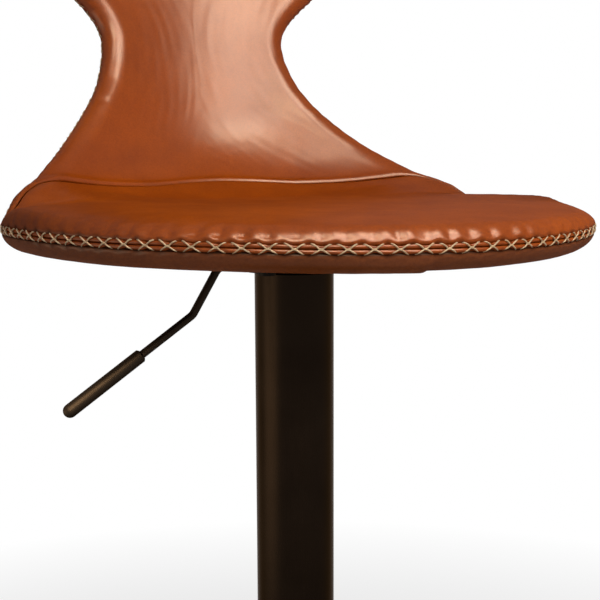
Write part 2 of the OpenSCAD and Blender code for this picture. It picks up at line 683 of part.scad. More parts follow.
// Seat plate, its bolts and washers, and the nuts in the board
module seat_plate() color("#3a3a3a") difference() {
    hull() for (x = [-1, 1], y = [-1, 1])
        translate([x * (plate_w / 2 - plate_corner_r), plate_y + y * (plate_w / 2 - plate_corner_r),
                   plate_z])
            cylinder(r = plate_corner_r, h = plate_t, $fn = 32);
    at_holes(plate_z - overrun) rod(bolt_d + 2 * fit_gap, plate_t + 2 * overrun);
}
module plate_washers() color("#b9bcc0")
    at_holes(plate_z - washer_t) pipe(washer_d, bolt_d + fit_gap, washer_t);
module plate_bolts() color("#55585c") at_holes(plate_z - washer_t) difference() {
    union() {
        translate([0, 0, -bolt_head_h]) rod(bolt_head_d, bolt_head_h);
        rod(bolt_d, board_top - nut_flange_t - plate_z + washer_t);
    }
    translate([0, 0, -bolt_head_h - overrun])
        cylinder(d = bolt_socket, h = bolt_head_h / 2 + overrun, $fn = 6);
}
module t_nuts() color("#b9bcc0") difference() {
    at_holes(board_z + soft_gap) union() {
        rod(nut_barrel_d, board_t - soft_gap - fit_gap);
        translate([0, 0, board_t - soft_gap - fit_gap - nut_flange_t]) rod(nut_flange_d, nut_flange_t);
    }
    at_holes(board_z) rod(bolt_d + fit_gap, board_t + overrun);
}

// Shell board: moulded plywood, bored and counterbored for the nuts
module shell_board() color("#b88a55") difference() {
    slab(sheet(all_lines, board_inset, function (p) -board_gap),
         sheet(all_lines, board_inset, function (p) -board_gap - board_t));
    at_holes(board_z - overrun) rod(nut_barrel_d + fit_gap, board_t + 2 * overrun);
    at_holes(board_top - nut_flange_t - 2 * fit_gap) rod(nut_flange_d + 2 * fit_gap, nut_flange_t * 2);
}

// Padding under the seat and behind the back, with a pocket for the board
module under_pad() color("#d9d2c0") difference() {
    slab(sheet(all_lines, board_inset - 2 * board_gap, function (p) -pad_depth),
         sheet(all_lines, foam_inset, function (p)
             -2 * soft_gap - under_drop(p, leather_t + 4 * soft_gap)),
         [rim_loop(sheet(all_lines, board_inset - 2 * board_gap, function (p) -soft_gap))]);
    at_holes(plate_z) rod(bolt_d + 2 * fit_gap, board_z - plate_z + overrun);
}
module seat_foam() color("#e6dcc0")
    slab(sheet(seat_lines, foam_inset, function (p) foam_edge + seat_rise(p, seat_crown - foam_skin)),
         sheet(seat_lines, board_inset, function (p) soft_gap),
         [rim_loop(sheet(seat_lines, foam_inset, function (p) foam_edge - soft_gap))], true);
module back_foam() color("#e6dcc0")
    slab(sheet(back_lines, foam_inset, function (p) foam_edge + back_rise(p, back_pad_t - foam_skin)),
         sheet(back_lines, board_inset, function (p) soft_gap),
         [rim_loop(sheet(back_lines, foam_inset, function (p) foam_edge - soft_gap))], true);

// Leather: the underside and rear in one piece, the seat panel and the back panel
module outer_cover() color("#5a2d17") difference() {
    slab(sheet(all_lines, leather_t, function (p) -under_drop(p, leather_t)),
         sheet(all_lines, 0, function (p) -under_drop(p, 0)));
    at_holes(plate_z) rod(bolt_d + 2 * fit_gap, board_z - plate_z + overrun);
}
module seat_cover() color("#a0501e")
    slab(sheet(seat_lines, 0, function (p) soft_gap + seat_rise(p, seat_crown)),
         sheet(seat_lines, leather_t, function (p) soft_gap + seat_rise(p, seat_crown - leather_t)));
module back_cover() color("#a0501e")
    slab(sheet(back_lines, 0, function (p) soft_gap + back_rise(p, back_pad_t)),
         sheet(back_lines, leather_t, function (p) soft_gap + back_rise(p, back_pad_t - leather_t)));

floor_ring();
base_weight();
base_cover();
base_hub();
hub_collar();
stand_tube();
guide_bush();
bearing_lower_race();
bearing_balls();
bearing_upper_race();
piston_rod();
rod_clip();
rod_buffer();
piston();
gas_cylinder();
rod_guide();
valve_pin();
taper_socket();
outer_sleeve();
sleeve_bush();
sleeve_glide();
foot_collar();
foot_hoop();
foot_screws();
lever_bracket();
lever_pin();
release_lever();
lever_grip();
seat_plate();
plate_bolts();
plate_washers();
t_nuts();
shell_board();
under_pad();
seat_foam();
back_foam();
outer_cover();
seat_cover();
back_cover();
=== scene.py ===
# %% [markdown]
# # An adjustable bar stool
# This lesson dresses a finished construction model of a bar stool: a gas-lift column on a
# round base, a foot hoop, a release lever and a leather shell sewn round its rim with a
# waxed cross stitch. The construction model stays as it is and carries every new piece, so
# each new piece is made where the model says it is, in metres, and rides on one of its bodies.
#
# The metal parts already have their true shape and only get their finishes here. The leather
# and its padding are made anew, since real upholstery has pinched stitch holes, rolled lips
# and soft creases that plain solids don't show.

import json
import math

import bpy
import numpy as np
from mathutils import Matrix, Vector
from mathutils.geometry import delaunay_2d_cdt


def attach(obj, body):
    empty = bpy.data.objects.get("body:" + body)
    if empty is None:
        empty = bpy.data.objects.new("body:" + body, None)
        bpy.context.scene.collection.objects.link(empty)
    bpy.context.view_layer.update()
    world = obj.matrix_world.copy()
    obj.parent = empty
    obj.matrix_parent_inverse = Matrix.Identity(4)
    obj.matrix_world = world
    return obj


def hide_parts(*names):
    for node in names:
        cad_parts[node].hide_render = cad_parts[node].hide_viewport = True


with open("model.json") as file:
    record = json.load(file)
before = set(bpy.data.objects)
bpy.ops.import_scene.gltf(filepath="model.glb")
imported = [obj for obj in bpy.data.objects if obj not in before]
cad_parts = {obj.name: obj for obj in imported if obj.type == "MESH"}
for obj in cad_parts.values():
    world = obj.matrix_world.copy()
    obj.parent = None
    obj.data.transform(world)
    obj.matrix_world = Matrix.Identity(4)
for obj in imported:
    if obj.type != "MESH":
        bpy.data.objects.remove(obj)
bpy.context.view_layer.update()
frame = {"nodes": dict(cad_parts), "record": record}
nodes = frame["nodes"]

# %% [markdown]
# ## The sheet that the shell is bent from
# The seat and the back are one moulded board. Laid flat it is a plan: x runs across it and s
# along it, from the front edge over the bend and up the back. Sculpted by eye, the leather
# would not fit the board inside it. So the same few sizes as in the construction model, in
# millimetres, bend the plan into place, and every soft piece is drawn on it and lifted off it.

# %% Sizes of the bent sheet
MM = 0.001
SEAT_HALF, SEAT_NOSE, SEAT_REACH, SEAM_Z = 215.5, 228.0, 228.0, 764.0
SEAT_FLAT, BEND_R, BACK_ANGLE, BOW_R = 308.0, 110.0, math.radians(78), 1800.0
SHELL_LEN, WAIST_S, WAIST_HALF, FLARE_S, BACK_HALF = 686.0, 515.0, 84.0, 616.0, 165.0
NOSE_LEN, NOSE_R, NOSE_POWER, SIDE_DROP = 86.0, 1100.0, 1.93, 5.5
WING_DISH, BACK_DISH, TOP_POWER = 39.5, 39.0, 2.4
RIDGE_MID, RIDGE_EDGE, RIDGE_POWER, RIDGE_GAP = 369.0, 254.0, 2.0, 0.7
neck_shares = np.array([[0, 1], [0.15, 0.93], [0.22, 0.833], [0.3, 0.69], [0.41, 0.563],
                        [0.6, 0.367], [0.78, 0.176], [0.88, 0.059], [1, 0]])
wing_shares = np.array([[0, 0], [0.12, 0.017], [0.15, 0.082], [0.18, 0.215], [0.21, 0.414],
                        [0.24, 0.555], [0.29, 0.721], [0.41, 0.944], [0.55, 1], [0.68, 0.935],
                        [0.79, 0.757], [0.88, 0.535], [1, 0.427]])
print("seat width", 2 * SEAT_HALF, "mm, length along the shell", SHELL_LEN, "mm")


# %% Curves through a few shares
def curve(table, x):
    """A smooth curve through a table of places and values, level at both ends."""
    places, values = table[:, 0], table[:, 1]
    slopes = np.zeros(len(table))
    slopes[1:-1] = (values[2:] - values[:-2]) / (places[2:] - places[:-2])
    x = np.clip(x, places[0], places[-1])
    i = np.clip(np.searchsorted(places, x, side="right") - 1, 0, len(table) - 2)
    h = places[i + 1] - places[i]
    k = (x - places[i]) / h
    return ((2 * k**3 - 3 * k**2 + 1) * values[i] + (k**3 - 2 * k**2 + k) * h * slopes[i]
            + (3 * k**2 - 2 * k**3) * values[i + 1] + (k**3 - k**2) * h * slopes[i + 1])


def ease(x):
    """A smooth step from 0 to 1."""
    return (1 - np.cos(np.pi * np.clip(x, 0, 1))) / 2


def bell(x, width):
    """1 where x is 0, and next to nothing two widths away."""
    return np.exp(-((x / width) ** 2))


def half_width(s):
    """Half the width of the flat plan at s."""
    s = np.asarray(s, float)
    nose = SEAT_HALF * (1 - np.clip(1 - s / SEAT_NOSE, 0, 1) ** NOSE_POWER) ** (1 / NOSE_POWER)
    neck = WAIST_HALF + (SEAT_HALF - WAIST_HALF) * curve(
        neck_shares, (s - SEAT_NOSE) / (WAIST_S - SEAT_NOSE))
    flare = WAIST_HALF + (BACK_HALF - WAIST_HALF) * ease((s - WAIST_S) / (FLARE_S - WAIST_S))
    run = np.clip((s - FLARE_S) / (SHELL_LEN - FLARE_S), 0, 1)
    top = BACK_HALF * np.clip(1 - run**TOP_POWER, 0, 1) ** (1 / TOP_POWER)
    return np.select([s < SEAT_NOSE, s < WAIST_S, s < FLARE_S], [nose, neck, flare], top)


# %% Bending the plan into place
def spine(s):
    """The middle line of the shell: y, z and its angle of rise."""
    s = np.asarray(s, float)
    nose = np.maximum(NOSE_LEN - s, 0) / NOSE_R
    bend = np.clip((s - SEAT_FLAT) / BEND_R, 0, BACK_ANGLE)
    bow = np.maximum(s - SEAT_FLAT - BEND_R * BACK_ANGLE, 0) / BOW_R
    y = (-SEAT_REACH + np.clip(s, NOSE_LEN, SEAT_FLAT) - NOSE_R * np.sin(nose)
         + BEND_R * np.sin(bend) + BOW_R * (math.sin(BACK_ANGLE) - np.sin(BACK_ANGLE - bow)))
    z = (SEAM_Z - NOSE_R * (1 - np.cos(nose)) + BEND_R * (1 - np.cos(bend))
         + BOW_R * (np.cos(BACK_ANGLE - bow) - math.cos(BACK_ANGLE)))
    return y, z, nose + bend - bow


def dish(x, s):
    """How far the sheet rises towards its sides: the wings of the seat and the cupped back."""
    low = WING_DISH * wing_shares[-1, 1]
    wing = WING_DISH * curve(wing_shares, (s - SEAT_NOSE) / (WAIST_S - SEAT_NOSE))
    cup = low + (BACK_DISH - low) * ease((s - WAIST_S) / (FLARE_S - WAIST_S))
    depth = np.select([s < SEAT_NOSE, s < WAIST_S], [0 * s, wing], cup)
    width = np.select([s < SEAT_NOSE, s > FLARE_S], [SEAT_HALF, BACK_HALF], half_width(s))
    power = 3.5 - 1.5 * ease((s - SEAT_FLAT) / BEND_R)
    drop = SIDE_DROP * (x / SEAT_HALF) ** 2 * np.clip(1 - s / SEAT_NOSE, 0, 1) ** 1.5
    return depth * (np.abs(x) / width) ** power - drop


def sheet_at(x, s):
    """A point of the bent sheet, in millimetres."""
    x, s = np.broadcast_arrays(np.asarray(x, float), np.asarray(s, float))
    y, z, rise = spine(s)
    d = dish(x, s)
    return np.stack([x, y - d * np.sin(rise), z + d * np.cos(rise)], -1)


def unit(v):
    return v / np.maximum(np.linalg.norm(v, axis=-1, keepdims=True), 1e-9)


def length_along(line):
    """How long a line is up to each of its points."""
    return np.concatenate([[0], np.cumsum(np.linalg.norm(np.diff(line, axis=0), axis=1))])


def sheet_up(x, s):
    """The direction square to the sheet, towards the sitter."""
    return unit(np.cross(sheet_at(x + 0.5, s) - sheet_at(x - 0.5, s),
                         sheet_at(x, s + 0.5) - sheet_at(x, s - 0.5)))


def ridge_s(x):
    """The seam between the seat panel and the back panel, over x."""
    share = np.clip(np.abs(x) / half_width(RIDGE_EDGE), 0, 1)
    return RIDGE_MID - (RIDGE_MID - RIDGE_EDGE) * share**RIDGE_POWER


print("top of the back at", np.round(sheet_at(0, SHELL_LEN), 1), "mm")

# %% [markdown]
# ## The rim, measured in stitches
# The stitches sit at even steps along the real, bent rim, not along the flat plan. So the rim
# is followed in small steps, its true length is added up, and it is cut again into equal
# steps, sixteen to a stitch. The thread and the pinches in the leather are then placed by
# counting stitches.

# %% Follow the rim
STITCH = 14.55
STEPS = 16
PHASE = 9 / STEPS
turn = np.linspace(0, np.pi / 2, 1500)
lift = np.sin(np.linspace(0, np.pi / 2, 3000))
right_s = np.concatenate([SEAT_NOSE * (1 - np.cos(turn) ** (2 / NOSE_POWER)),
                          SEAT_NOSE + (SHELL_LEN - SEAT_NOSE) * lift[1:]])
right_x = np.concatenate([SEAT_HALF * np.sin(turn) ** (2 / NOSE_POWER),
                          half_width(SEAT_NOSE + (SHELL_LEN - SEAT_NOSE) * lift[1:])])
rough = np.concatenate([np.stack([right_x, right_s], -1),
                        np.stack([-right_x, right_s], -1)[-2:0:-1]])
rough = np.concatenate([rough, rough[:1]])
walk = length_along(sheet_at(rough[:, 0], rough[:, 1]))
rim_length = walk[-1]
stitch_count = round(rim_length / STITCH)
pitch = rim_length / stitch_count
rim_steps = STEPS * stitch_count
rim_a = np.arange(rim_steps) * rim_length / rim_steps
rim = np.stack([np.interp(rim_a, walk, rough[:, k]) for k in (0, 1)], -1)
print("rim length", round(rim_length, 1), "mm,", stitch_count, "stitches of", round(pitch, 2), "mm")


# %% Directions at the rim
def around(values, n):
    """Values along the closed rim, n steps further on."""
    return np.roll(values, -n, axis=0)


def softened(values, reach):
    """A running mean along the closed rim."""
    total = sum(np.roll(values, n, axis=0) for n in range(-reach, reach + 1))
    return total / (2 * reach + 1)


rim_point = sheet_at(rim[:, 0], rim[:, 1])
rim_along = unit(softened(around(rim_point, 1) - around(rim_point, -1), 3))
rim_up = unit(softened(sheet_up(rim[:, 0], np.clip(rim[:, 1], 1, SHELL_LEN - 1)), 3))
rim_up = unit(rim_up - (rim_up * rim_along).sum(-1, keepdims=True) * rim_along)
rim_out = np.cross(rim_along, rim_up)
print("outwards at the front:", np.round(rim_out[0], 2))

# %% [markdown]
# ## Where the seam leaves the rim
# Round the seat the two leathers meet on the rim itself. Up the back they do not: the front
# leather is wrapped over the edge and sewn just behind it, so that no stitch touches the
# sitter. The seam is therefore turned back round the edge by an angle that grows from nothing
# at the wings, and its directions are turned with it.

# %% Turn the seam behind the back
SEAT_CROWN, BACK_PAD, UNDER_EDGE, UNDER_BELLY, REAR_PAD = 14.0, 12.0, 12.7, 10.8, 13.0
UNDER_REACH, REAR_REACH = 16.0, 11.0
WRAP, WRAP_FROM, WRAP_RUN = math.radians(36), 262.0, 60.0


def rear_share(s):
    """0 under the seat, 1 behind the back."""
    return ease((s - SEAT_FLAT) / BEND_R)


def mixed(low, high, share):
    return low + (high - low) * share


wrap = WRAP * ease((rim[:, 1] - WRAP_FROM) / WRAP_RUN)
edge_reach = mixed(UNDER_REACH, REAR_REACH, rear_share(rim[:, 1]))
edge_deep = mixed(UNDER_EDGE, REAR_PAD, rear_share(rim[:, 1]))
cos_wrap, sin_wrap = np.cos(wrap)[:, None], np.sin(wrap)[:, None]
seam_point = (rim_point - edge_reach[:, None] * (1 - cos_wrap) * rim_out
              - edge_deep[:, None] * sin_wrap * rim_up)
seam_out = rim_out * cos_wrap - rim_up * sin_wrap
seam_up = rim_up * cos_wrap + rim_out * sin_wrap
print("the seam of the back is turned by up to", round(math.degrees(WRAP)), "degrees")


def at_place(values, a):
    """Values along the closed rim, read at any places."""
    return np.interp(a % rim_length, np.append(rim_a, rim_length), np.append(values, values[0]))


# %% Nearest place on the rim
CHUNK, SKIP = 4000, 4


def near_rim(points):
    """For points of the flat plan: distance from the rim, place along it, and way inwards."""
    flat = points.reshape(-1, 2)
    best = np.empty(len(flat), int)
    for start in range(0, len(flat), CHUNK):
        part = flat[start:start + CHUNK]
        gap = ((part[:, None, :] - rim[None, ::SKIP, :]) ** 2).sum(-1)
        best[start:start + CHUNK] = gap.argmin(1) * SKIP
    for reach in (2, 1):
        tries = (best[:, None] + np.arange(-reach, reach + 1)) % rim_steps
        gap = ((flat[:, None, :] - rim[tries]) ** 2).sum(-1)
        best = tries[np.arange(len(flat)), gap.argmin(1)]
    before, after = rim[(best - 1) % rim_steps], rim[(best + 1) % rim_steps]
    way = after - before
    share = ((flat - before) * way).sum(-1) / np.maximum((way**2).sum(-1), 1e-9)
    place = (best - 1 + 2 * share) * (rim_length / rim_steps)
    on = before + share[:, None] * way
    inwards = unit(np.stack([-way[:, 1], way[:, 0]], -1))
    distance = ((flat - on) * inwards).sum(-1)
    shape = points.shape[:-1]
    return distance.reshape(shape), place.reshape(shape), inwards.reshape(points.shape)


print("middle of the seat lies", np.round(near_rim(np.array([[0.0, 213.0]]))[0], 1), "mm inside")

# %% [markdown]
# ## Fine grids between four edges
# Leather is shaped on a grid of about 2 mm, fine enough for a pinched stitch hole. Rows and
# columns keep the highlights calm, where loose triangles would make them flicker. Each panel
# is treated as a cloth with four sides: its grid is drawn between four pieces of outline,
# with closer lines next to each side, where the leather turns sharply.


# %% Grid helpers
def spread(length, step):
    """Places from 0 to 1 along a side, closer together near its two ends, in millimetres."""
    close = np.cumsum([0.5, 0.6, 0.7, 0.8, 0.8, 0.8, 0.9, 0.9, 1.0, 1.0, 1.1, 1.2, 1.3, 1.4, 1.5])
    n = max(round((length - 2 * close[-1]) / step), 1)
    middle = np.linspace(close[-1], length - close[-1], n + 1)
    return np.concatenate([[0], close[:-1], middle, length - close[-2::-1], [length]]) / length


def on_line(line, shares):
    """Points at shares of the length of a line."""
    walked = length_along(line)
    return np.stack([np.interp(shares * walked[-1], walked, line[:, k]) for k in (0, 1)], -1)


def grid_between(front, back, left, right, u, v):
    """A grid of plan points that follows four edges, rows from front to back."""
    f, b, l, r = on_line(front, u), on_line(back, u), on_line(left, v), on_line(right, v)
    across, up = u[None, :, None], v[:, None, None]
    corners = ((1 - across) * (1 - up) * f[0] + across * (1 - up) * f[-1]
               + (1 - across) * up * b[0] + across * up * b[-1])
    return ((1 - up) * f[None] + up * b[None] + (1 - across) * l[:, None]
            + across * r[:, None] - corners)


def rim_part(a, b):
    """The rim from place a to place b, in millimetres along it from the middle of the front."""
    at = np.linspace(a, b, max(int(2 * abs(b - a)), 2))
    return np.stack([at_place(rim[:, k], at) for k in (0, 1)], -1)


def place_of(s):
    """How far along the rim, from the middle of the front, the right side reaches s."""
    half = rim_steps // 2
    return float(np.interp(s, rim[:half, 1], rim_a[:half]))


FRONT_ARC, TOP_ARC = 200.0, 118.0
HALF_RIM = rim_length / 2
TOP_AT = HALF_RIM - TOP_ARC
print("the seam of the back meets the rim", round(place_of(RIDGE_EDGE), 1), "mm from the front")

# %% [markdown]
# ## How leather goes round an edge
# Seen in section, the leather leaves the stitched seam almost upright, turns over the padding
# and lies down towards the middle. The plan point nearest the rim is therefore not above its
# own place: it climbs the edge first. A table of the section says, for a length of leather
# from the seam, how far in and how high it has come, and the grid is bent over by it.

# %% Section tables
FADE = 78.0


def section(reach, height, top=None):
    """Length of leather from the seam -> (distance in, height): a quarter of an ellipse, then
    an even climb to the top height."""
    turn = np.linspace(0, np.pi / 2, 200)
    e, h = reach * (1 - np.cos(turn)), height * np.sin(turn)
    run = length_along(np.stack([e, h], -1))
    return np.append(run, FADE), np.append(e, FADE), np.append(h, top or height)


def over_edge(table, d):
    run, e, h = table
    return np.where(d > run[-1], d, np.interp(d, run, e)), np.interp(d, run, h)


seat_section = section(12.0, 12.2, SEAT_CROWN)
seat_corner_section = section(33.0, 14.4)
seat_wing_section = section(7.0, 13.4, SEAT_CROWN)
back_section = section(14.0, BACK_PAD)
under_section = section(UNDER_REACH, UNDER_EDGE)
rear_section = section(REAR_REACH, REAR_PAD)
BEHIND_LIP = 3.0
CORNER_AT, CORNER_RUN, WING_FROM, WING_RUN = 190.0, 62.0, 255.0, 50.0


def tucked(d):
    """How far the first strip of leather turns in behind the rolled lip."""
    return BEHIND_LIP * (1 - ease(d / BEHIND_LIP))


def from_front(a):
    """How far a place on the rim is from the middle of the front, the shorter way round."""
    return np.minimum(a % rim_length, rim_length - a % rim_length)


def corner_share(a):
    """0 at the front and at the wings, 1 at the two front corners of the seat."""
    return bell(from_front(a) - CORNER_AT, CORNER_RUN)


def wing_share(a):
    """0 round the front of the seat, 1 at the wings."""
    return ease((from_front(a) - WING_FROM) / WING_RUN)


def front_edge(table, d, angle, reach, deep):
    """Section of a front leather that starts behind the edge, turned back by an angle."""
    run = d - angle * deep * np.clip(1 - d / FADE, 0, 1)
    e, h = over_edge(table, np.maximum(run, 0))
    turn = np.maximum(-run, 0) / deep
    e = np.where(run < 0, reach * (1 - np.cos(turn)), e) + tucked(d) * np.cos(angle)
    return e, np.where(run < 0, -deep * np.sin(turn), h) + tucked(d) * np.sin(angle)


def rear_edge(d, angle, deep, share):
    """Section of the leather under the seat and behind the back."""
    run = d + angle * deep * np.clip(1 - d / FADE, 0, 1)
    e1, h1 = over_edge(under_section, run)
    e2, h2 = over_edge(rear_section, run)
    belly = (1 - share) * UNDER_BELLY * np.minimum(d / 115, 1)
    return (mixed(e1, e2, share) + tucked(d) * np.cos(angle),
            mixed(h1, h2, share) + belly - tucked(d) * np.sin(angle))


# %% Waves and pinches
WAVES = 9
# Distances in from the seam of holes, groove and free leather, and a hole's width and reach.
HOLE_AT, HOLE_WIDE, HOLE_REACH = 3.4, 2.0, 4.0
GROOVE_AT, FREE_AT = 2.4, 4.0


def waves(x, y, length, seed):
    """Soft, even unrest between about -1 and 1 with waves of that length."""
    rng = np.random.default_rng(seed)
    total = 0
    for _ in range(WAVES):
        heading, shift, scale = (rng.uniform(low, high) for low, high in
                                 ((0, 2 * np.pi), (0, 2 * np.pi), (0.7, 1.5)))
        total = total + np.cos(2 * np.pi / (length * scale)
                               * (x * np.cos(heading) + y * np.sin(heading)) + shift)
    return total / WAVES * 1.6


def from_cross(a):
    """How far along the rim the nearest cross of thread is; the holes lie between crosses."""
    step = a / pitch - PHASE
    return np.abs(step - np.round(step)) * pitch


def pinched(a, d, seed, under):
    """How far the stitches pull the leather in or let it puff out, in millimetres. Each hole
    and each cross has its own force, lean and width."""
    rng = np.random.default_rng(seed)
    force, lean, width = (rng.uniform(low, high, stitch_count + 1) for low, high in
                          ((0.5, 1.25), (-0.45, 0.45), (0.8, 1.25)))
    step = a / pitch - PHASE
    side, from_hole = (step - np.round(step)) * pitch, (step - np.floor(step) - 0.5) * pitch
    cross, hole = (n.astype(int) % stitch_count for n in (np.round(step), np.floor(step)))
    pull = bell(from_hole, HOLE_WIDE) * bell(d - HOLE_AT, 1.3)
    groove = bell(d - GROOVE_AT, 1.0)
    free = d - FREE_AT

    def crease(depth, arch):
        """A fine fold that arches over a cross from hole to hole."""
        return depth * force[cross] * bell(d - arch, 0.8) * bell(side, 3.6)

    if under:
        fold = bell(from_hole - lean[hole] * free, 1.9) * np.exp(-np.maximum(free, 0) / 7.0)
        return (-1.15 * pull - 0.5 * groove
                - crease(0.35, 6.2 - 0.06 * side**2 - 0.5 * lean[cross])
                - 0.6 * force[hole] * fold * np.clip((d - 2) / 2, 0, 1))
    rise = np.clip((d - 2.0) / 2.4, 0, 1)
    puff_side = from_hole - 4 * lean[hole] - 0.25 * lean[hole] * free
    puff = (1.1 * force[hole] * bell(puff_side, 4.4 * width[hole]) * rise
            * bell(np.maximum(d - 7, 0), 9.0))
    bulge = 0.62 * force[cross] * bell(side, 3.3) * bell(d - 4.2, 1.5)
    valley = (0.46 * force[cross] * bell(side - lean[cross] * free, 2.4) * rise
              * bell(np.maximum(d - 9, 0), 11.0))
    return (puff + bulge - crease(0.4, 6.6 - 0.05 * side**2 + 0.5 * lean[cross]) - valley
            - 0.75 * pull * (np.abs(from_hole) < HOLE_REACH) - 0.28 * groove)


# %% Making a piece
LINING_STEP = 13.0


def outward(grid):
    """Directions square to a grid of 3D points."""
    return unit(np.cross(np.gradient(grid, axis=1), np.gradient(grid, axis=0)))


def grid_faces(at):
    """Faces with four corners between the vertex numbers of a grid."""
    corners = (at[:-1, :-1], at[:-1, 1:], at[1:, 1:], at[1:, :-1])
    return np.stack(corners, -1).reshape(-1, 4).tolist()


def border(at):
    """Vertex numbers round a grid, the way its faces turn."""
    return np.concatenate([at[0, :-1], at[:-1, -1], at[-1, :0:-1], at[:0:-1, 0]])


def linked(name, data):
    """A new object in the scene, at the origin."""
    made = bpy.data.objects.new(name, data)
    bpy.context.scene.collection.objects.link(made)
    return made


def make_piece(name, points, faces, finish, painted_shade):
    """A smooth mesh piece from points in millimetres, and how much shade is painted into its
    leather at each.
    """
    mesh = bpy.data.meshes.new(name)
    mesh.from_pydata((points * MM).tolist(), [], faces)
    mesh.validate()
    mesh.shade_smooth()
    mesh.materials.append(finish)
    # The stored value says how much shade is painted into the leather at each point.
    store = mesh.attributes.new("painted_shade", "FLOAT", "POINT")
    store.data.foreach_set("value", painted_shade.ravel().astype(np.float32))
    return linked(name, mesh)


def lining(loop, height, rings):
    """A plain inner face inside a loop of plan points: its points, heights and triangles."""
    clear = LINING_STEP * 0.6
    xs = np.arange(-SEAT_HALF, SEAT_HALF, LINING_STEP)
    lattice = np.stack(np.meshgrid(xs, np.arange(0, SHELL_LEN, LINING_STEP)), -1).reshape(-1, 2)
    lattice[:, 0] += (np.arange(len(lattice)) // len(xs) % 2) * LINING_STEP / 2
    depth = near_rim(lattice)[0]
    base = rim[::6]
    extra = np.concatenate([lattice[depth > max([clear + 4, *[r + clear for r in rings]])],
                            *[base + near_rim(base)[2] * r for r in rings]])
    points = np.concatenate([loop, extra[in_loop(extra, loop, 2.0)]])
    edges = [(i, (i + 1) % len(loop)) for i in range(len(loop))]
    flat, _, triangles, *_ = delaunay_2d_cdt(
        [Vector(p) for p in points.tolist()], edges, [list(range(len(loop)))], 1, 1e-5)
    flat = np.array([tuple(p) for p in flat])
    return flat, height(near_rim(flat)[0]), triangles


def in_loop(points, loop, margin):
    """Which plan points lie inside a loop, and at least margin from its corners."""
    a, b = loop, np.roll(loop, -1, axis=0)
    hit = np.zeros(len(points), bool)
    for k in range(len(loop)):
        crosses = (a[k, 1] > points[:, 1]) != (b[k, 1] > points[:, 1])
        with np.errstate(divide="ignore", invalid="ignore"):
            at = a[k, 0] + (points[:, 1] - a[k, 1]) / (b[k, 1] - a[k, 1]) * (b[k, 0] - a[k, 0])
        hit ^= crosses & (points[:, 0] < at)
    near = np.array([((loop - p) ** 2).sum(-1).min() for p in points])
    return hit & (near > margin**2)


print("sections ready; leather is", round(seat_section[0][-2], 1), "mm long over the seat's edge")

# %% [markdown]
# ## Finishes as Python expressions
# A material is a web of nodes, and long webs are hard to read. Here a small class stands for
# one wire of the web: adding or multiplying wires puts in the Math nodes by itself, so that a
# mask reads like a formula.


# %% Wires
class Wire:
    """One output of a node in a tree; plain arithmetic on it adds Math nodes."""

    def __init__(self, tree, socket=None):
        self.tree, self.socket = tree, socket

    def node(self, kind, settings=None, values=None, out=0):
        """Adds a node: first its settings, then the values or wires of its sockets."""
        made = self.tree.nodes.new(kind)
        for name, value in (settings or {}).items():
            setattr(made, name, value)
        for name, value in (values or {}).items():
            if isinstance(value, Wire):
                self.tree.links.new(value.socket, made.inputs[name])
            else:
                made.inputs[name].default_value = value
        return Wire(self.tree, made.outputs[out])

    def maths(self, operation, *terms):
        return self.node("ShaderNodeMath", {"operation": operation}, dict(enumerate(terms)))

    def __add__(self, other):
        return self.maths("ADD", self, other)

    __radd__ = __add__

    def __sub__(self, other):
        return self.maths("SUBTRACT", self, other)

    def __rsub__(self, other):
        return self.maths("SUBTRACT", other, self)

    def __mul__(self, other):
        return self.maths("MULTIPLY", self, other)

    __rmul__ = __mul__

    def clipped(self, low, high):
        """0 below low, 1 above high, and even between."""
        return self.node("ShaderNodeMapRange", {"clamp": True},
                         {"Value": self, "From Min": low, "From Max": high})

    def shade(self, a, b):
        """Colour a where this wire is 0 and colour b where it is 1."""
        return self.node("ShaderNodeMix", {"data_type": "RGBA"}, {0: self, 6: a, 7: b}, out=2)


def new_finish(name, **constants):
    """A material, its shader, and a first wire of its web. Even values go on the shader itself."""
    finish = bpy.data.materials.new(name)
    finish.use_nodes = True
    tree = finish.node_tree
    shader = tree.nodes["Principled BSDF"]
    for socket, value in constants.items():
        shader.inputs[socket.replace("_", " ")].default_value = value
    return finish, shader, Wire(tree)


def plug(shader, **wires):
    """Feeds wires to the shader's sockets; an underscore in a name stands for a space."""
    for socket, wire in wires.items():
        wire.tree.links.new(wire.socket, shader.inputs[socket.replace("_", " ")])


def place_in(web, scale=(1, 1, 1)):
    """Object coordinates, stretched by scale."""
    where = web.node("ShaderNodeTexCoord", out="Object")
    return web.node("ShaderNodeMapping", None, {"Vector": where, "Scale": scale})


def noise(web, where, size, detail=2.0, rough=0.5, warp=0.0):
    """Noise with blotches of that size in metres."""
    return web.node("ShaderNodeTexNoise", None,
                    {"Vector": where, "Scale": 1 / size, "Detail": detail, "Roughness": rough,
                     "Distortion": warp}, out="Fac")


def raised(web, height, strength, distance, **below):
    """A bump of that height in metres; Normal= names the bump it lies on."""
    return web.node("ShaderNodeBump", None,
                    {"Height": height, "Strength": strength, "Distance": distance, **below})


print("wires ready")
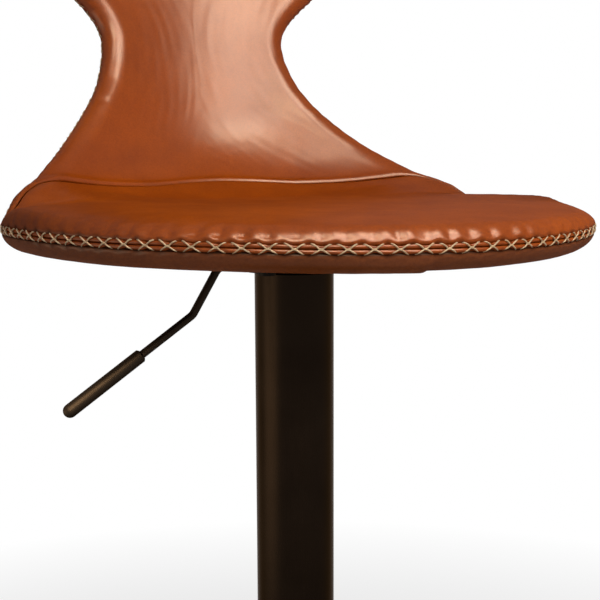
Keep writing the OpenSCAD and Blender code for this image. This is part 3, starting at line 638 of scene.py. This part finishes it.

# %% [markdown]
# ## Cognac leather
# The shell is covered in smooth, waxed cowhide: a warm orange brown with a soft mottle from
# the hand-rubbed dye, with fine pores and a satin-gloss wax coat, and painted shade in its folds
# and round the stitch holes. A photograph could be wrapped round it, but it would show its seams.
# Layers of noise in the piece's own space give the mottle, the pores and faint stretch marks,
# and a value stored on the mesh says where shade is painted into the leather: darker colour and
# less coat in the crease, the seam's groove and holes, behind and between the lips, and towards
# the ends of the seat.
#
# The leather itself is set not to mirror at all. All its gloss comes from the coat, which is
# thin but bends light strongly, so that highlights stay bright head-on as well as at a
# glancing angle, while the deep colour under them is not washed out.


# %% Leather
def leather(name, light, deep, dark, gloss, coat):
    finish, shader, web = new_finish(name, Specular_IOR_Level=0.0, IOR=1.45,
                                     Coat_Roughness=0.30, Coat_IOR=3.0)
    where = place_in(web)
    mottle = noise(web, where, 0.085, 3.0, 0.55, 0.3).clipped(0.33, 0.68)
    cloud = noise(web, where, 0.022, 3.0, 0.6).clipped(0.3, 0.75)
    pores = web.node("ShaderNodeTexVoronoi", {"feature": "DISTANCE_TO_EDGE"},
                     {"Vector": where, "Scale": 1300.0}).clipped(0.0, 0.25)
    fine = noise(web, where, 0.0016, 3.0, 0.6)
    # The stored value paints shade into the leather: it pulls the colour towards dark and dulls the
    # coat.
    painted_shade = web.node("ShaderNodeAttribute", {"attribute_name": "painted_shade"}, out="Fac")
    painted_shade = painted_shade.clipped(0.0, 1.0)
    tone = (mottle * 0.65 + cloud * 0.35).shade(deep, light)
    speck = ((1 - pores) * 0.18 + (0.62 - fine).clipped(0.0, 0.3) * 0.16).shade(tone, dark)
    plug(shader, Base_Color=(painted_shade * 0.85).shade(speck, dark),
         Roughness=gloss + (1 - mottle) * 0.05 + painted_shade * 0.18 + (fine - 0.5) * 0.12,
         Coat_Weight=coat - painted_shade * 0.85 * coat)
    stretch = noise(web, place_in(web, (1.0, 0.45, 0.8)), 0.012, 3.0, 0.5, 0.6)
    bump = raised(web, pores * 0.5 + fine * 0.5, 0.45, 0.00022)
    plug(shader, Normal=raised(web, stretch, 0.16, 0.0012, Normal=bump))
    return finish


tan = leather("cognac_leather", (0.46, 0.082, 0.003, 1), (0.31, 0.050, 0.002, 1),
              (0.035, 0.009, 0.003, 1), 0.5, 0.062)
# Painted shade: the leather under the seat and behind the back is the same cognac leather, given a
# darker colour here to stand for the shade it lies in.
shaded = leather("cognac_leather_painted_shade", (0.300, 0.075, 0.020, 1), (0.210, 0.052, 0.012, 1),
                 (0.02, 0.007, 0.003, 1), 0.5, 0.04)
print("leathers:", tan.name, shaded.name)

# %% [markdown]
# ## The seat panel and the back panel
# Each panel is one closed, padded piece: leather outside, and a plain inner face against the
# board. The seat panel ends in the crease under the back, and the back panel rises from it.

# %% Padded panels
CLEAR = 0.3
LAP_WAY, LAP_SHIFT, LAP_STEP = (-0.156, -0.988), 5.5, 1.3
SLOPE_X = np.linspace(-SEAT_HALF, SEAT_HALF, 400)
SLOPE = np.gradient(ridge_s(SLOPE_X), SLOPE_X)


def rounded(d, reach):
    """Share of its height that a rolled edge has reached d from its end."""
    return np.sqrt(1 - (1 - np.clip(d / reach, 0, 1)) ** 2)


def leather_section(side, x, s, d, a, from_ridge):
    """How far in from the rim the leather lies over a plan point, and how high."""
    angle, reach, deep = (at_place(values, a) for values in (wrap, edge_reach, edge_deep))
    if side == "under":
        e, h = rear_edge(d, angle, deep, rear_share(s))
        from_lap = (x - LAP_SHIFT) * LAP_WAY[1] - (s - SEAT_REACH) * LAP_WAY[0]
        lapped = np.clip(from_lap / 1.1, 0, 1) * np.exp(-np.maximum(from_lap, 0) / 90)
        return e, h + LAP_STEP * lapped * (s < SEAT_REACH) * np.clip((d - 3) / 5, 0, 1)
    aside = (x / SEAT_HALF) ** 2
    sunk = 0.42 * aside * bell(from_ridge, 34)
    if side == "back":
        e, h = front_edge(back_section, d, angle, reach, deep)
        band = bell(from_ridge - 4.0, 3.2) * np.clip(d / 5, 0, 1)
        return e, h * (1 - 0.24 * (1 - rounded(from_ridge, 4.0))) * (1 - sunk) + band
    e, h = front_edge(seat_section, d, angle, reach, deep)
    for table, share in ((seat_corner_section, corner_share(a)),
                         (seat_wing_section, wing_share(a) * (1 - bell(from_ridge, 26)))):
        e1, h1 = front_edge(table, d, angle, reach, deep)
        e, h = mixed(e, e1, share), mixed(h, h1, share)
    swell = 5.5 * aside * bell(s - 250, 80) * rounded(ridge_s(x) - s, 40)
    h = h * (1 + swell / SEAT_CROWN) * (1 - 0.16 * (1 - rounded(from_ridge, 12))) * (1 - sunk)
    return e, h


def panel_points(grid, side):
    """Lifts a grid of plan points to the outside of the leather. Also says how much shade is
    painted into it.
    """
    d, a, inwards = near_rim(grid)
    d = np.maximum(d, 0)
    x, s = grid[..., 0], grid[..., 1]
    from_ridge = np.abs(s - ridge_s(x)) / np.sqrt(1 + np.interp(x, SLOPE_X, SLOPE) ** 2)
    e, h = leather_section(side, x, s, d, a, from_ridge)
    flat = grid - inwards * (d - e)[..., None]
    sign = -1 if side == "under" else 1
    up = sheet_up(flat[..., 0], flat[..., 1])
    points = sheet_at(flat[..., 0], flat[..., 1]) + sign * (CLEAR + h)[..., None] * up
    out = outward(points) * sign
    move = pinched(a, d, 8 if side == "back" else 7, side == "under")
    if side != "under":
        calm = 1 - 0.5 * ease((from_front(a) - CORNER_AT) / 80)
        move = move * calm * (1 - 0.55 * at_place(wrap, a) / WRAP)
    unrest = 0.16 if side == "back" else 0.4
    move = (move + ease((d - 12) / 40) * unrest * waves(x, s, 80.0, 21)
            + ease((d - 4) / 10) * 0.10 * waves(a, 3 * d, 26.0, 22))
    hole = pitch / 2 - from_cross(a)
    # Painted shade: darker in the seam's groove and round each stitch hole.
    painted_shade = 0.22 * bell(d - GROOVE_AT, 0.9) + 0.6 * bell(d - 3.2, 1.5) * bell(hole, HOLE_WIDE)
    if side == "under":
        # Painted shade: dark close to the seam, where the under leather tucks in behind the lower
        # lip.
        painted_shade = painted_shade + 1 - ease((d - 1.6) / 2.4)
    else:
        move = move * (1 - np.exp(-from_ridge / 2.0))
        # Painted shade: dark in the strip tucked behind the lip and along the crease between the
        # panels.
        painted_shade = np.maximum(painted_shade + (d < 1.6), 0.6 * bell(from_ridge, 0.9))
        # Painted shade: darker towards both ends of the seat.
        painted_shade = painted_shade + 0.5 * ease((np.abs(x) - 130) / 100)
    return points + out * move[..., None], flat, np.clip(painted_shade, 0, 1)


def padded_panel(name, edges, across, along, side, inner, rings, finish):
    """One closed panel: its leather side from a grid between four edges, and its inner face."""
    grid = grid_between(*edges, spread(*across), spread(*along))
    points, flat, painted_shade = panel_points(grid, side)
    at = np.arange(painted_shade.size).reshape(painted_shade.shape)
    if side != "under":
        # The row in the crease between the panels sinks into it and is painted fully dark as shade.
        last = -1 if side == "seat" else 0
        points[last] = points[last] - 2.6 * sheet_up(flat[last, :, 0], flat[last, :, 1])
        painted_shade[last] = 1
    loop = border(at)
    plan, heights, triangles = lining(flat.reshape(-1, 2)[loop], inner, rings)
    below = sheet_at(plan[:, 0], plan[:, 1]) + heights[:, None] * sheet_up(plan[:, 0], plan[:, 1])
    added = len(plan) - len(loop)
    number = np.concatenate([loop, painted_shade.size + np.arange(added)])
    faces = grid_faces(at) + [[int(number[i]) for i in reversed(t)] for t in triangles]
    if side == "under":
        faces = [f[::-1] for f in faces]
    every = np.concatenate([points.reshape(-1, 3), below[len(loop):]])
    piece = make_piece(name, every, faces, finish, np.append(painted_shade, np.ones(added)))
    print(name, "has a grid of", at.shape, "and", len(triangles), "inner triangles")
    return piece


# %% Seat panel
CORNER_GAP = 0.8
ridge_x = np.linspace(-half_width(RIDGE_EDGE), half_width(RIDGE_EDGE), 800)
corner = place_of(RIDGE_EDGE)


def on_board(d):
    """Height of the inner face of a front panel."""
    return CLEAR + 0 * d


seat_top = np.stack([ridge_x, ridge_s(ridge_x) - RIDGE_GAP], -1)
seat_edges = (rim_part(-FRONT_ARC, FRONT_ARC), seat_top,
              rim_part(-FRONT_ARC, CORNER_GAP - corner), rim_part(FRONT_ARC, corner - CORNER_GAP))
seat_top[0], seat_top[-1] = seat_edges[2][-1], seat_edges[3][-1]
seat = padded_panel("seat_panel", seat_edges, (2 * FRONT_ARC, 1.75),
                    (corner - FRONT_ARC + 60, 1.9), "seat", on_board, (), tan)

# %% Back panel
back_low = np.stack([ridge_x, ridge_s(ridge_x) + RIDGE_GAP], -1)
back_edges = (back_low, rim_part(HALF_RIM + TOP_ARC, TOP_AT),
              rim_part(-corner - CORNER_GAP, -TOP_AT), rim_part(corner + CORNER_GAP, TOP_AT))
back_low[0], back_low[-1] = back_edges[2][0], back_edges[3][0]
back = padded_panel("back_panel", back_edges, (2 * TOP_ARC + 120, 1.75), (TOP_AT - corner, 2.0),
                    "back", on_board, (), tan)

# %% Under panel
BOARD_INSET, BOARD_UNDER = 16.8, -8.5


def round_board(d):
    """Height of the inner face of the under panel, which steps down round the board's edge."""
    return np.where(d < BOARD_INSET, -0.35, BOARD_UNDER)


under_edges = (rim_part(-FRONT_ARC, FRONT_ARC), rim_part(HALF_RIM + TOP_ARC, TOP_AT),
               rim_part(-FRONT_ARC, -TOP_AT), rim_part(FRONT_ARC, TOP_AT))
under = padded_panel("under_panel", under_edges, (2 * FRONT_ARC, 2.2), (TOP_AT - FRONT_ARC, 2.5),
                     "under", round_board, (15.9, 17.6), shaded)

# %% [markdown]
# ## Rolled lips
# The edges of the leather are turned in before they are sewn, so two soft rolls lie against
# each other along the seam, with a dark gap between them. Each is a long strip of sections
# that follows the rim. The thread squeezes them once a stitch, where its arms cross.

# %% Lips
LIP_SIDES = 14


def lip(name, a, b, side, finish):
    """A rolled lip along the rim from place a to place b; the whole way round if a is None."""
    closed = a is None
    count = rim_steps // 2 if closed else max(int((b - a) / rim_length * rim_steps / 2), 4)
    at = np.arange(count) * rim_length / count if closed else np.linspace(a, b, count)
    row = at / rim_length * rim_steps
    i, k = np.floor(row).astype(int), (row - np.floor(row))[:, None]
    point, up, out = (values[i % rim_steps] * (1 - k) + values[(i + 1) % rim_steps] * k
                      for values in (seam_point, seam_up, seam_out))
    node = from_cross(at)
    squeeze, hold = bell(node, 2.9), bell(pitch / 2 - node, HOLE_WIDE)
    wander = 0.12 * waves(at, 0 * at, 33.0, 5 if side > 0 else 6)
    end = np.ones(count) if closed else np.clip(np.minimum(at - a, b - at) / 2.0, 0.25, 1)
    thick = (1.50 - 0.55 * squeeze - 0.10 * hold + wander) * end
    tall = (1.45 - 0.55 * squeeze - 0.10 * hold) * end
    turn = np.linspace(0, 2 * np.pi, LIP_SIDES, endpoint=False)
    o = -1.6 - 0.2 * squeeze[:, None] + thick[:, None] * np.cos(turn)
    y = side * ((1.50 - 0.50 * squeeze)[:, None] + tall[:, None] * np.sin(turn))
    points = point[:, None] + o[..., None] * unit(out)[:, None] + y[..., None] * unit(up)[:, None]
    rings = np.arange(o.size).reshape(o.shape)
    tube = np.hstack([rings, rings[:, :1]])
    faces = grid_faces(np.vstack([tube, tube[:1]]) if closed else tube)
    if not closed:
        faces += [rings[0, ::-1].tolist(), rings[-1].tolist()]
    if side > 0:
        faces = [face[::-1] for face in faces]
    # Painted shade: dark in the gap between the two lips, round the holes, where the thread
    # squeezes the lips, and on the inner side of each roll.
    dark = np.clip(1.0 - np.abs(y) / 0.45, 0, 1) + 0.4 * hold[:, None] * (np.abs(y) > 2.5)
    dark = np.clip(dark + 0.3 * squeeze[:, None] + (o < -2.6), 0, 1)
    return make_piece(name, points.reshape(-1, 3), faces, finish, dark)


LIP_GAP = 0.3
seat_lip = lip("seat_lip", LIP_GAP - corner, corner - LIP_GAP, 1, tan)
back_lip = lip("back_lip", corner + LIP_GAP, rim_length - corner - LIP_GAP, 1, tan)
under_lip = lip("under_lip", None, None, -1, tan)
print("lips:", [len(p.data.polygons) for p in (seat_lip, back_lip, under_lip)], "faces")

# %% [markdown]
# ## The waxed cross stitch
# One stitch is a cross of thick waxed thread: four arms run from holes above and below the lips
# to a crossing on the gap, and neighbouring stitches share their holes. A stitch that repeats
# well over a hundred times along a path is work for Geometry Nodes. The tree below turns the
# rim into a curve, cuts it into one point for each stitch, builds one cross, and sets it on
# every point, squared to the rim by two directions stored there. The cross is four bent arms
# and two short bars, which fill its middle like threads that lie over each other.

# %% Rim path for the stitches
CROSS_INSET = 1.05


def stitch_row(values):
    """Values along the rim from the first cross on, at every other step."""
    return around(values, int(PHASE * STEPS))[::2]


path_mesh = bpy.data.meshes.new("rim_path")
path_points = stitch_row(seam_point - CROSS_INSET * seam_out)
path_mesh.from_pydata((path_points * MM).tolist(),
                      [(i, (i + 1) % len(path_points)) for i in range(len(path_points))], [])
for title, values in (("out", seam_out), ("along", rim_along)):
    layer = path_mesh.attributes.new(title, "FLOAT_VECTOR", "POINT")
    layer.data.foreach_set("vector", stitch_row(values).astype(np.float32).ravel())
rim_path = linked("rim_path", path_mesh)
print("rim path:", len(path_points), "points")

# %% Thread finish
thread, thread_shader, web = new_finish("waxed_thread", Roughness=0.62)
where = place_in(web)
fuzz = noise(web, where, 0.0009, 3.0, 0.65)
stain = noise(web, where, 0.009, 2.0).clipped(0.35, 0.75)
twine = (stain * 0.55 + fuzz * 0.45).shade((0.60, 0.40, 0.21, 1), (0.32, 0.16, 0.065, 1))
plug(thread_shader, Base_Color=twine, Normal=raised(web, fuzz, 0.5, 0.0004))

# %% Stitch tree
stitch_sizes = {"Stitches": stitch_count, "Reach": 0.0066, "Rise": 0.0030, "Depth": 0.0012,
                "Front": 0.0014, "Thread": 0.00047, "Unrest": 0.05, "Seed": 4}
tree = bpy.data.node_groups.new("cross_stitches", "GeometryNodeTree")
for way in ("INPUT", "OUTPUT"):
    tree.interface.new_socket("Geometry", in_out=way, socket_type="NodeSocketGeometry")
sockets = {}
for title, value in stitch_sizes.items():
    kind = "Int" if title in ("Stitches", "Seed") else "Float"
    socket = tree.interface.new_socket(title, in_out="INPUT", socket_type="NodeSocket" + kind)
    socket.default_value = value
    sockets[title] = socket.identifier
sewn = Wire(tree)
given = {socket.name: Wire(tree, socket) for socket in tree.nodes.new("NodeGroupInput").outputs}
print("sizes of the stitch tree:", list(sockets))


# %% One cross
def at_point(x, y, z):
    return sewn.node("ShaderNodeCombineXYZ", None, dict(zip("XYZ", (x, y, z))))


def spot(out, up, forward, depth="Front"):
    """A point of the cross, in shares of its reach, its rise and its front or its depth."""
    return at_point(given["Reach"] * out, given["Rise"] * up, given[depth] * forward)


def bent_thread(resolution, start, middle, end):
    """Adds one bent length of thread to the cross."""
    made = sewn.node("GeometryNodeCurveQuadraticBezier", None,
                     {"Resolution": resolution, "Start": start, "Middle": middle, "End": end})
    tree.links.new(made.socket, threads.socket.node.inputs[0])


# For the arms below and above: how far out the hole is, and how far out and up the arm bends.
arm_shares = {-1: (0.87, 0.5, 0.62), 1: (1.0, 0.62, 1.16)}
threads = sewn.node("GeometryNodeJoinGeometry")
for way_x in (-1, 1):
    for way_y, (hole_out, bend_out, bend_up) in arm_shares.items():
        bent_thread(9, spot(way_x * hole_out, way_y, -1.0, "Depth"),
                    spot(way_x * bend_out, way_y * bend_up, 1.2),
                    spot(way_x * 0.15, way_y * 0.09, 0.5))
for way_y in (-1, 1):
    bent_thread(5, spot(-0.22, way_y * 0.06, 0.42), spot(0.0, way_y * 0.07, 0.66),
                spot(0.22, way_y * 0.12, 0.42))
ring = sewn.node("GeometryNodeCurvePrimitiveCircle", None,
                 {"Resolution": 8, "Radius": given["Thread"]})
tube = sewn.node("GeometryNodeCurveToMesh", None,
                 {"Curve": threads, "Profile Curve": ring, "Fill Caps": True})

# %% Crosses along the rim
line = sewn.node("GeometryNodeMeshToCurve", None, {"Mesh": given["Geometry"]})
spots = sewn.node("GeometryNodeResampleCurve", None, {"Curve": line, "Count": given["Stitches"]})
out_way, along_way = (sewn.node("GeometryNodeInputNamedAttribute", {"data_type": "FLOAT_VECTOR"},
                                {"Name": title}) for title in ("out", "along"))
squared = sewn.node("FunctionNodeAxesToRotation", {"primary_axis": "Z", "secondary_axis": "X"},
                    {"Primary Axis": out_way, "Secondary Axis": along_way})
swing = sewn.node("FunctionNodeRandomValue", {"data_type": "FLOAT"},
                  {"Min": given["Unrest"] * -1.0, "Max": given["Unrest"], "Seed": given["Seed"]})
swing = Wire(tree, next(o for o in swing.socket.node.outputs if o.enabled))
little = sewn.node("FunctionNodeEulerToRotation", None, {0: at_point(0.0, 0.0, swing)})
turned = sewn.node("FunctionNodeRotateRotation", {"rotation_space": "LOCAL"},
                   {0: squared, 1: little})
placed = sewn.node("GeometryNodeInstanceOnPoints", None,
                   {"Points": spots, "Instance": tube, "Rotation": turned})
real = sewn.node("GeometryNodeRealizeInstances", None, {"Geometry": placed})
smooth = sewn.node("GeometryNodeSetShadeSmooth", None, {0: real})
painted = sewn.node("GeometryNodeSetMaterial", None, {"Geometry": smooth, "Material": thread})
tree.links.new(painted.socket, tree.nodes.new("NodeGroupOutput").inputs[0])
print("stitch tree:", len(tree.nodes), "nodes")

# %% Sew
sewing = rim_path.modifiers.new("sewing", "NODES")
sewing.node_group = tree
for title, value in stitch_sizes.items():
    sewing[sockets[title]] = value
stitched = rim_path.evaluated_get(bpy.context.evaluated_depsgraph_get())
stitches = linked("rim_stitches", bpy.data.meshes.new_from_object(stitched))
bpy.data.objects.remove(rim_path)
print("stitches:", stitch_count, "with", len(stitches.data.polygons), "faces")

# %% [markdown]
# ## Metal, rubber and the parts inside
# The column, the lever, the hoop and the base are steel with a dark bronze lacquer: almost
# black, a little brown where light grazes it, with fine brushing along the tubes. The parts
# inside are plain workshop materials, finished for the views that open the stool up.


# %% Bronze lacquer
def lacquer(name, light, deep, rough, stretch, metal=1.0, relief=0.12):
    finish, shader, web = new_finish(name, Metallic=metal, Specular_Tint=(0.6, 0.54, 0.5, 1))
    where = place_in(web, stretch)
    brushed = noise(web, where, 0.0011, 4.0, 0.7)
    cloud = noise(web, place_in(web), 0.05, 3.0).clipped(0.3, 0.7)
    plug(shader, Base_Color=(cloud * 0.6 + brushed * 0.4).shade(deep, light),
         Roughness=rough + (brushed - 0.5) * 0.16 + cloud * 0.04,
         Normal=raised(web, brushed, relief, 0.0002))
    return finish


bronze = lacquer("bronze_lacquer", (0.0125, 0.0078, 0.0050, 1), (0.0075, 0.0046, 0.0029, 1),
                 0.34, (1, 1, 0.06))
lever_bronze = lacquer("lever_bronze", (0.027, 0.019, 0.013, 1), (0.018, 0.012, 0.008, 1),
                       0.5, (0.3, 0.3, 0.3), relief=0.02)
black_steel = lacquer("black_powder_coat", (0.012, 0.010, 0.009, 1), (0.007, 0.006, 0.005, 1),
                      0.5, (1, 1, 1))
ballast = lacquer("primed_iron", (0.06, 0.06, 0.058, 1), (0.035, 0.034, 0.033, 1),
                  0.62, (1, 1, 1), metal=0.2)
zinc = lacquer("zinc_plate", (0.58, 0.58, 0.60, 1), (0.42, 0.43, 0.44, 1), 0.3, (1, 1, 1))
chrome = lacquer("hard_chrome", (0.66, 0.66, 0.68, 1), (0.60, 0.60, 0.62, 1), 0.12, (1, 1, 0.1))
brass = lacquer("valve_brass", (0.66, 0.47, 0.20, 1), (0.5, 0.34, 0.14, 1), 0.28, (1, 1, 0.1))


# %% Rubber, nylon and wood
def moulded(name, light, deep, rough, grain):
    finish, shader, web = new_finish(name)
    skin = noise(web, place_in(web), grain, 3.0, 0.6)
    plug(shader, Base_Color=skin.shade(deep, light), Roughness=rough + (skin - 0.5) * 0.2,
         Normal=raised(web, skin, 0.25, 0.0003))
    return finish


rubber = moulded("black_rubber", (0.030, 0.030, 0.029, 1), (0.014, 0.014, 0.014, 1), 0.75, 0.002)
nylon = moulded("black_nylon", (0.034, 0.034, 0.035, 1), (0.020, 0.020, 0.021, 1), 0.48, 0.0012)
foam = moulded("cream_foam", (0.80, 0.73, 0.56, 1), (0.62, 0.55, 0.40, 1), 0.9, 0.0016)
wood, wood_shader, web = new_finish("moulded_ply")
grain = noise(web, place_in(web, (1, 0.05, 0.3)), 0.006, 5.0, 0.7)
plug(wood_shader, Base_Color=grain.shade((0.36, 0.21, 0.10, 1), (0.60, 0.42, 0.24, 1)),
     Roughness=0.5 + (grain - 0.5) * 0.2, Normal=raised(web, grain, 0.2, 0.0003))

# %% Give every construction node its finish
finish_of_slot = {"rubber": rubber, "ballast": ballast, "bronze_metal": bronze, "zinc_steel": zinc,
                  "black_steel": black_steel, "rod_chrome": chrome, "valve_brass": brass,
                  "black_plastic": nylon, "plywood": wood, "foam": foam, "tan_leather": tan,
                  "dark_leather": shaded}
for part in frame["record"]["subparts"]:
    finish = finish_of_slot[part["material_slot"]]
    if part["node"] in ("release_lever", "lever_grip"):
        finish = lever_bronze
    for slot in nodes[part["node"]].material_slots:
        slot.material = finish

# %% [markdown]
# ## What carries what
# All the leather belongs to the seat group, which turns and slides on the column. The plain
# solids that the leather stands for are hidden; they stay in the model for touch and weight only.

# %% Hang the pieces on their body
for piece, slot in ((seat, "tan_leather"), (back, "tan_leather"), (under, "dark_leather"),
                    (seat_lip, "tan_leather"), (back_lip, "tan_leather"),
                    (under_lip, "tan_leather"), (stitches, None)):
    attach(piece, "seat")
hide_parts("seat_cover", "seat_foam")
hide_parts("back_cover", "back_foam")
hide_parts("outer_cover", "under_pad")

# %% [markdown]
# ## The studio
# A plain pale floor, an even white surround, one soft lamp and a few light cards. The surround
# is white to the camera, in reflections and through glass, but lights the object at a fifth of
# that, so that colours come out as they are written.
#
# A photographer draws the long highlights of leather with large warm cards round it. Each card
# here is an area lamp that shows in gloss only: it sets a highlight where it is wanted, and
# leaves colour and shadow to the soft lamp.


# %% Floor
def white_world_wire(tree):
    """A wire that is 1 for rays from the camera, from mirrors and through glass, and else 0."""
    rays = tree.nodes.new("ShaderNodeLightPath")
    seen = Wire(tree, rays.outputs["Is Camera Ray"])
    for kind in ("Is Glossy Ray", "Is Transmission Ray"):
        seen = seen.maths("MAXIMUM", seen, Wire(tree, rays.outputs[kind]))
    return seen


FLOOR_HALF, FLOOR_Z = 15.0, -0.0005
floor_mesh = bpy.data.meshes.new("floor")
floor_mesh.from_pydata([(x * FLOOR_HALF, y * FLOOR_HALF, FLOOR_Z)
                        for x, y in ((-1, -1), (1, -1), (1, 1), (-1, 1))], [], [(0, 1, 2, 3)])
floor = linked("floor", floor_mesh)
paint, paint_shader, web = new_finish("pale_floor", Roughness=0.9, Specular_IOR_Level=0.0,
                                      Base_Color=(0.86, 0.86, 0.86, 1))
glow = web.node("ShaderNodeEmission", None, {"Color": (1, 1, 1, 1), "Strength": 1.0})
away = web.node("ShaderNodeVectorMath", {"operation": "LENGTH"},
                {0: place_in(web, (1, 1, 0))}, out="Value")
share = away.clipped(0.35, 1.5) * 0.6 + 0.4
both = web.node("ShaderNodeMixShader", None, {0: share * white_world_wire(paint.node_tree)})
paint.node_tree.links.new(paint_shader.outputs[0], both.socket.node.inputs[1])
paint.node_tree.links.new(glow.socket, both.socket.node.inputs[2])
paint.node_tree.links.new(both.socket, paint.node_tree.nodes["Material Output"].inputs["Surface"])
floor_mesh.materials.append(paint)

# %% Surround
SHADE_LEVEL = 0.2
world = bpy.data.worlds.new("studio")
bpy.context.scene.world = world
world.use_nodes = True
sky = world.node_tree
background = sky.nodes["Background"]
level = white_world_wire(sky) * (1 - SHADE_LEVEL) + SHADE_LEVEL
sky.links.new(level.socket, background.inputs["Strength"])
background.inputs["Color"].default_value = (1, 1, 1, 1)


# %% Lamps
def lamp(name, turn, rise, away, aim, size, radiance, tint=(1, 1, 1), gloss_only=False):
    """A soft lamp seen from aim at a turn from the front (degrees) and a rise, that bright."""
    data = bpy.data.lights.new(name, "AREA")
    data.shape, data.size, data.size_y = "RECTANGLE", size[0], size[1]
    data.energy = radiance * math.pi * size[0] * size[1]
    data.color = tint
    turn, rise, aim = math.radians(turn), math.radians(rise), Vector(aim)
    way = Vector((math.sin(turn) * math.cos(rise), -math.cos(turn) * math.cos(rise),
                  math.sin(rise)))
    made = linked(name, data)
    made.location = aim + away * way
    made.rotation_euler = (-way).to_track_quat("-Z", "Y").to_euler()
    made.visible_diffuse = not gloss_only


WARM = (1.0, 0.84, 0.58)
LEATHER = (0, 0.1, 0.82)
lamp("key", 4, 40, 1.4, (0, 0, 0.8), (0.8, 0.9), 6.9)
for name, turn, rise, away, aim, size, radiance in (
        ("low_card", -26, 27, 1.3, LEATHER, (0.6, 0.5), 32.0),
        ("high_card", 10, 50, 1.3, LEATHER, (0.6, 0.5), 31.0),
        ("side_card", 12, 27, 1.3, LEATHER, (0.7, 0.4), 22.0),
        ("roll_card", -52, 54, 1.3, (0, -0.2, 0.78), (0.45, 0.5), 24.0),
        ("column_card", -102, -10, 1.35, (0, 0, 0.65), (1.0, 0.7), 3.6)):
    lamp(name, turn, rise, away, aim, size, radiance, WARM, gloss_only=True)

# %% [markdown]
# ## The camera
# The camera stands close, a little above the seat, 28 degrees round from the front, and looks
# slightly down. From so near the front edge looms larger than the back, as it does to a guest.

# %% Camera
AWAY, BESIDE, EYE = 0.797, 0.0048, 0.8115
DOWN, ROUND, TILT = math.radians(7.7), math.radians(-28), 0.004
camera_data = bpy.data.cameras.new("camera")
camera_data.sensor_width, camera_data.lens = 36.0, 63.54
camera = linked("camera", camera_data)
camera.location = (AWAY * math.sin(ROUND) + BESIDE * math.cos(ROUND),
                   -AWAY * math.cos(ROUND) + BESIDE * math.sin(ROUND), EYE)
camera.rotation_euler = (math.pi / 2 - DOWN, TILT, ROUND)
bpy.context.scene.camera = camera
bpy.context.scene.view_settings.view_transform = "Standard"
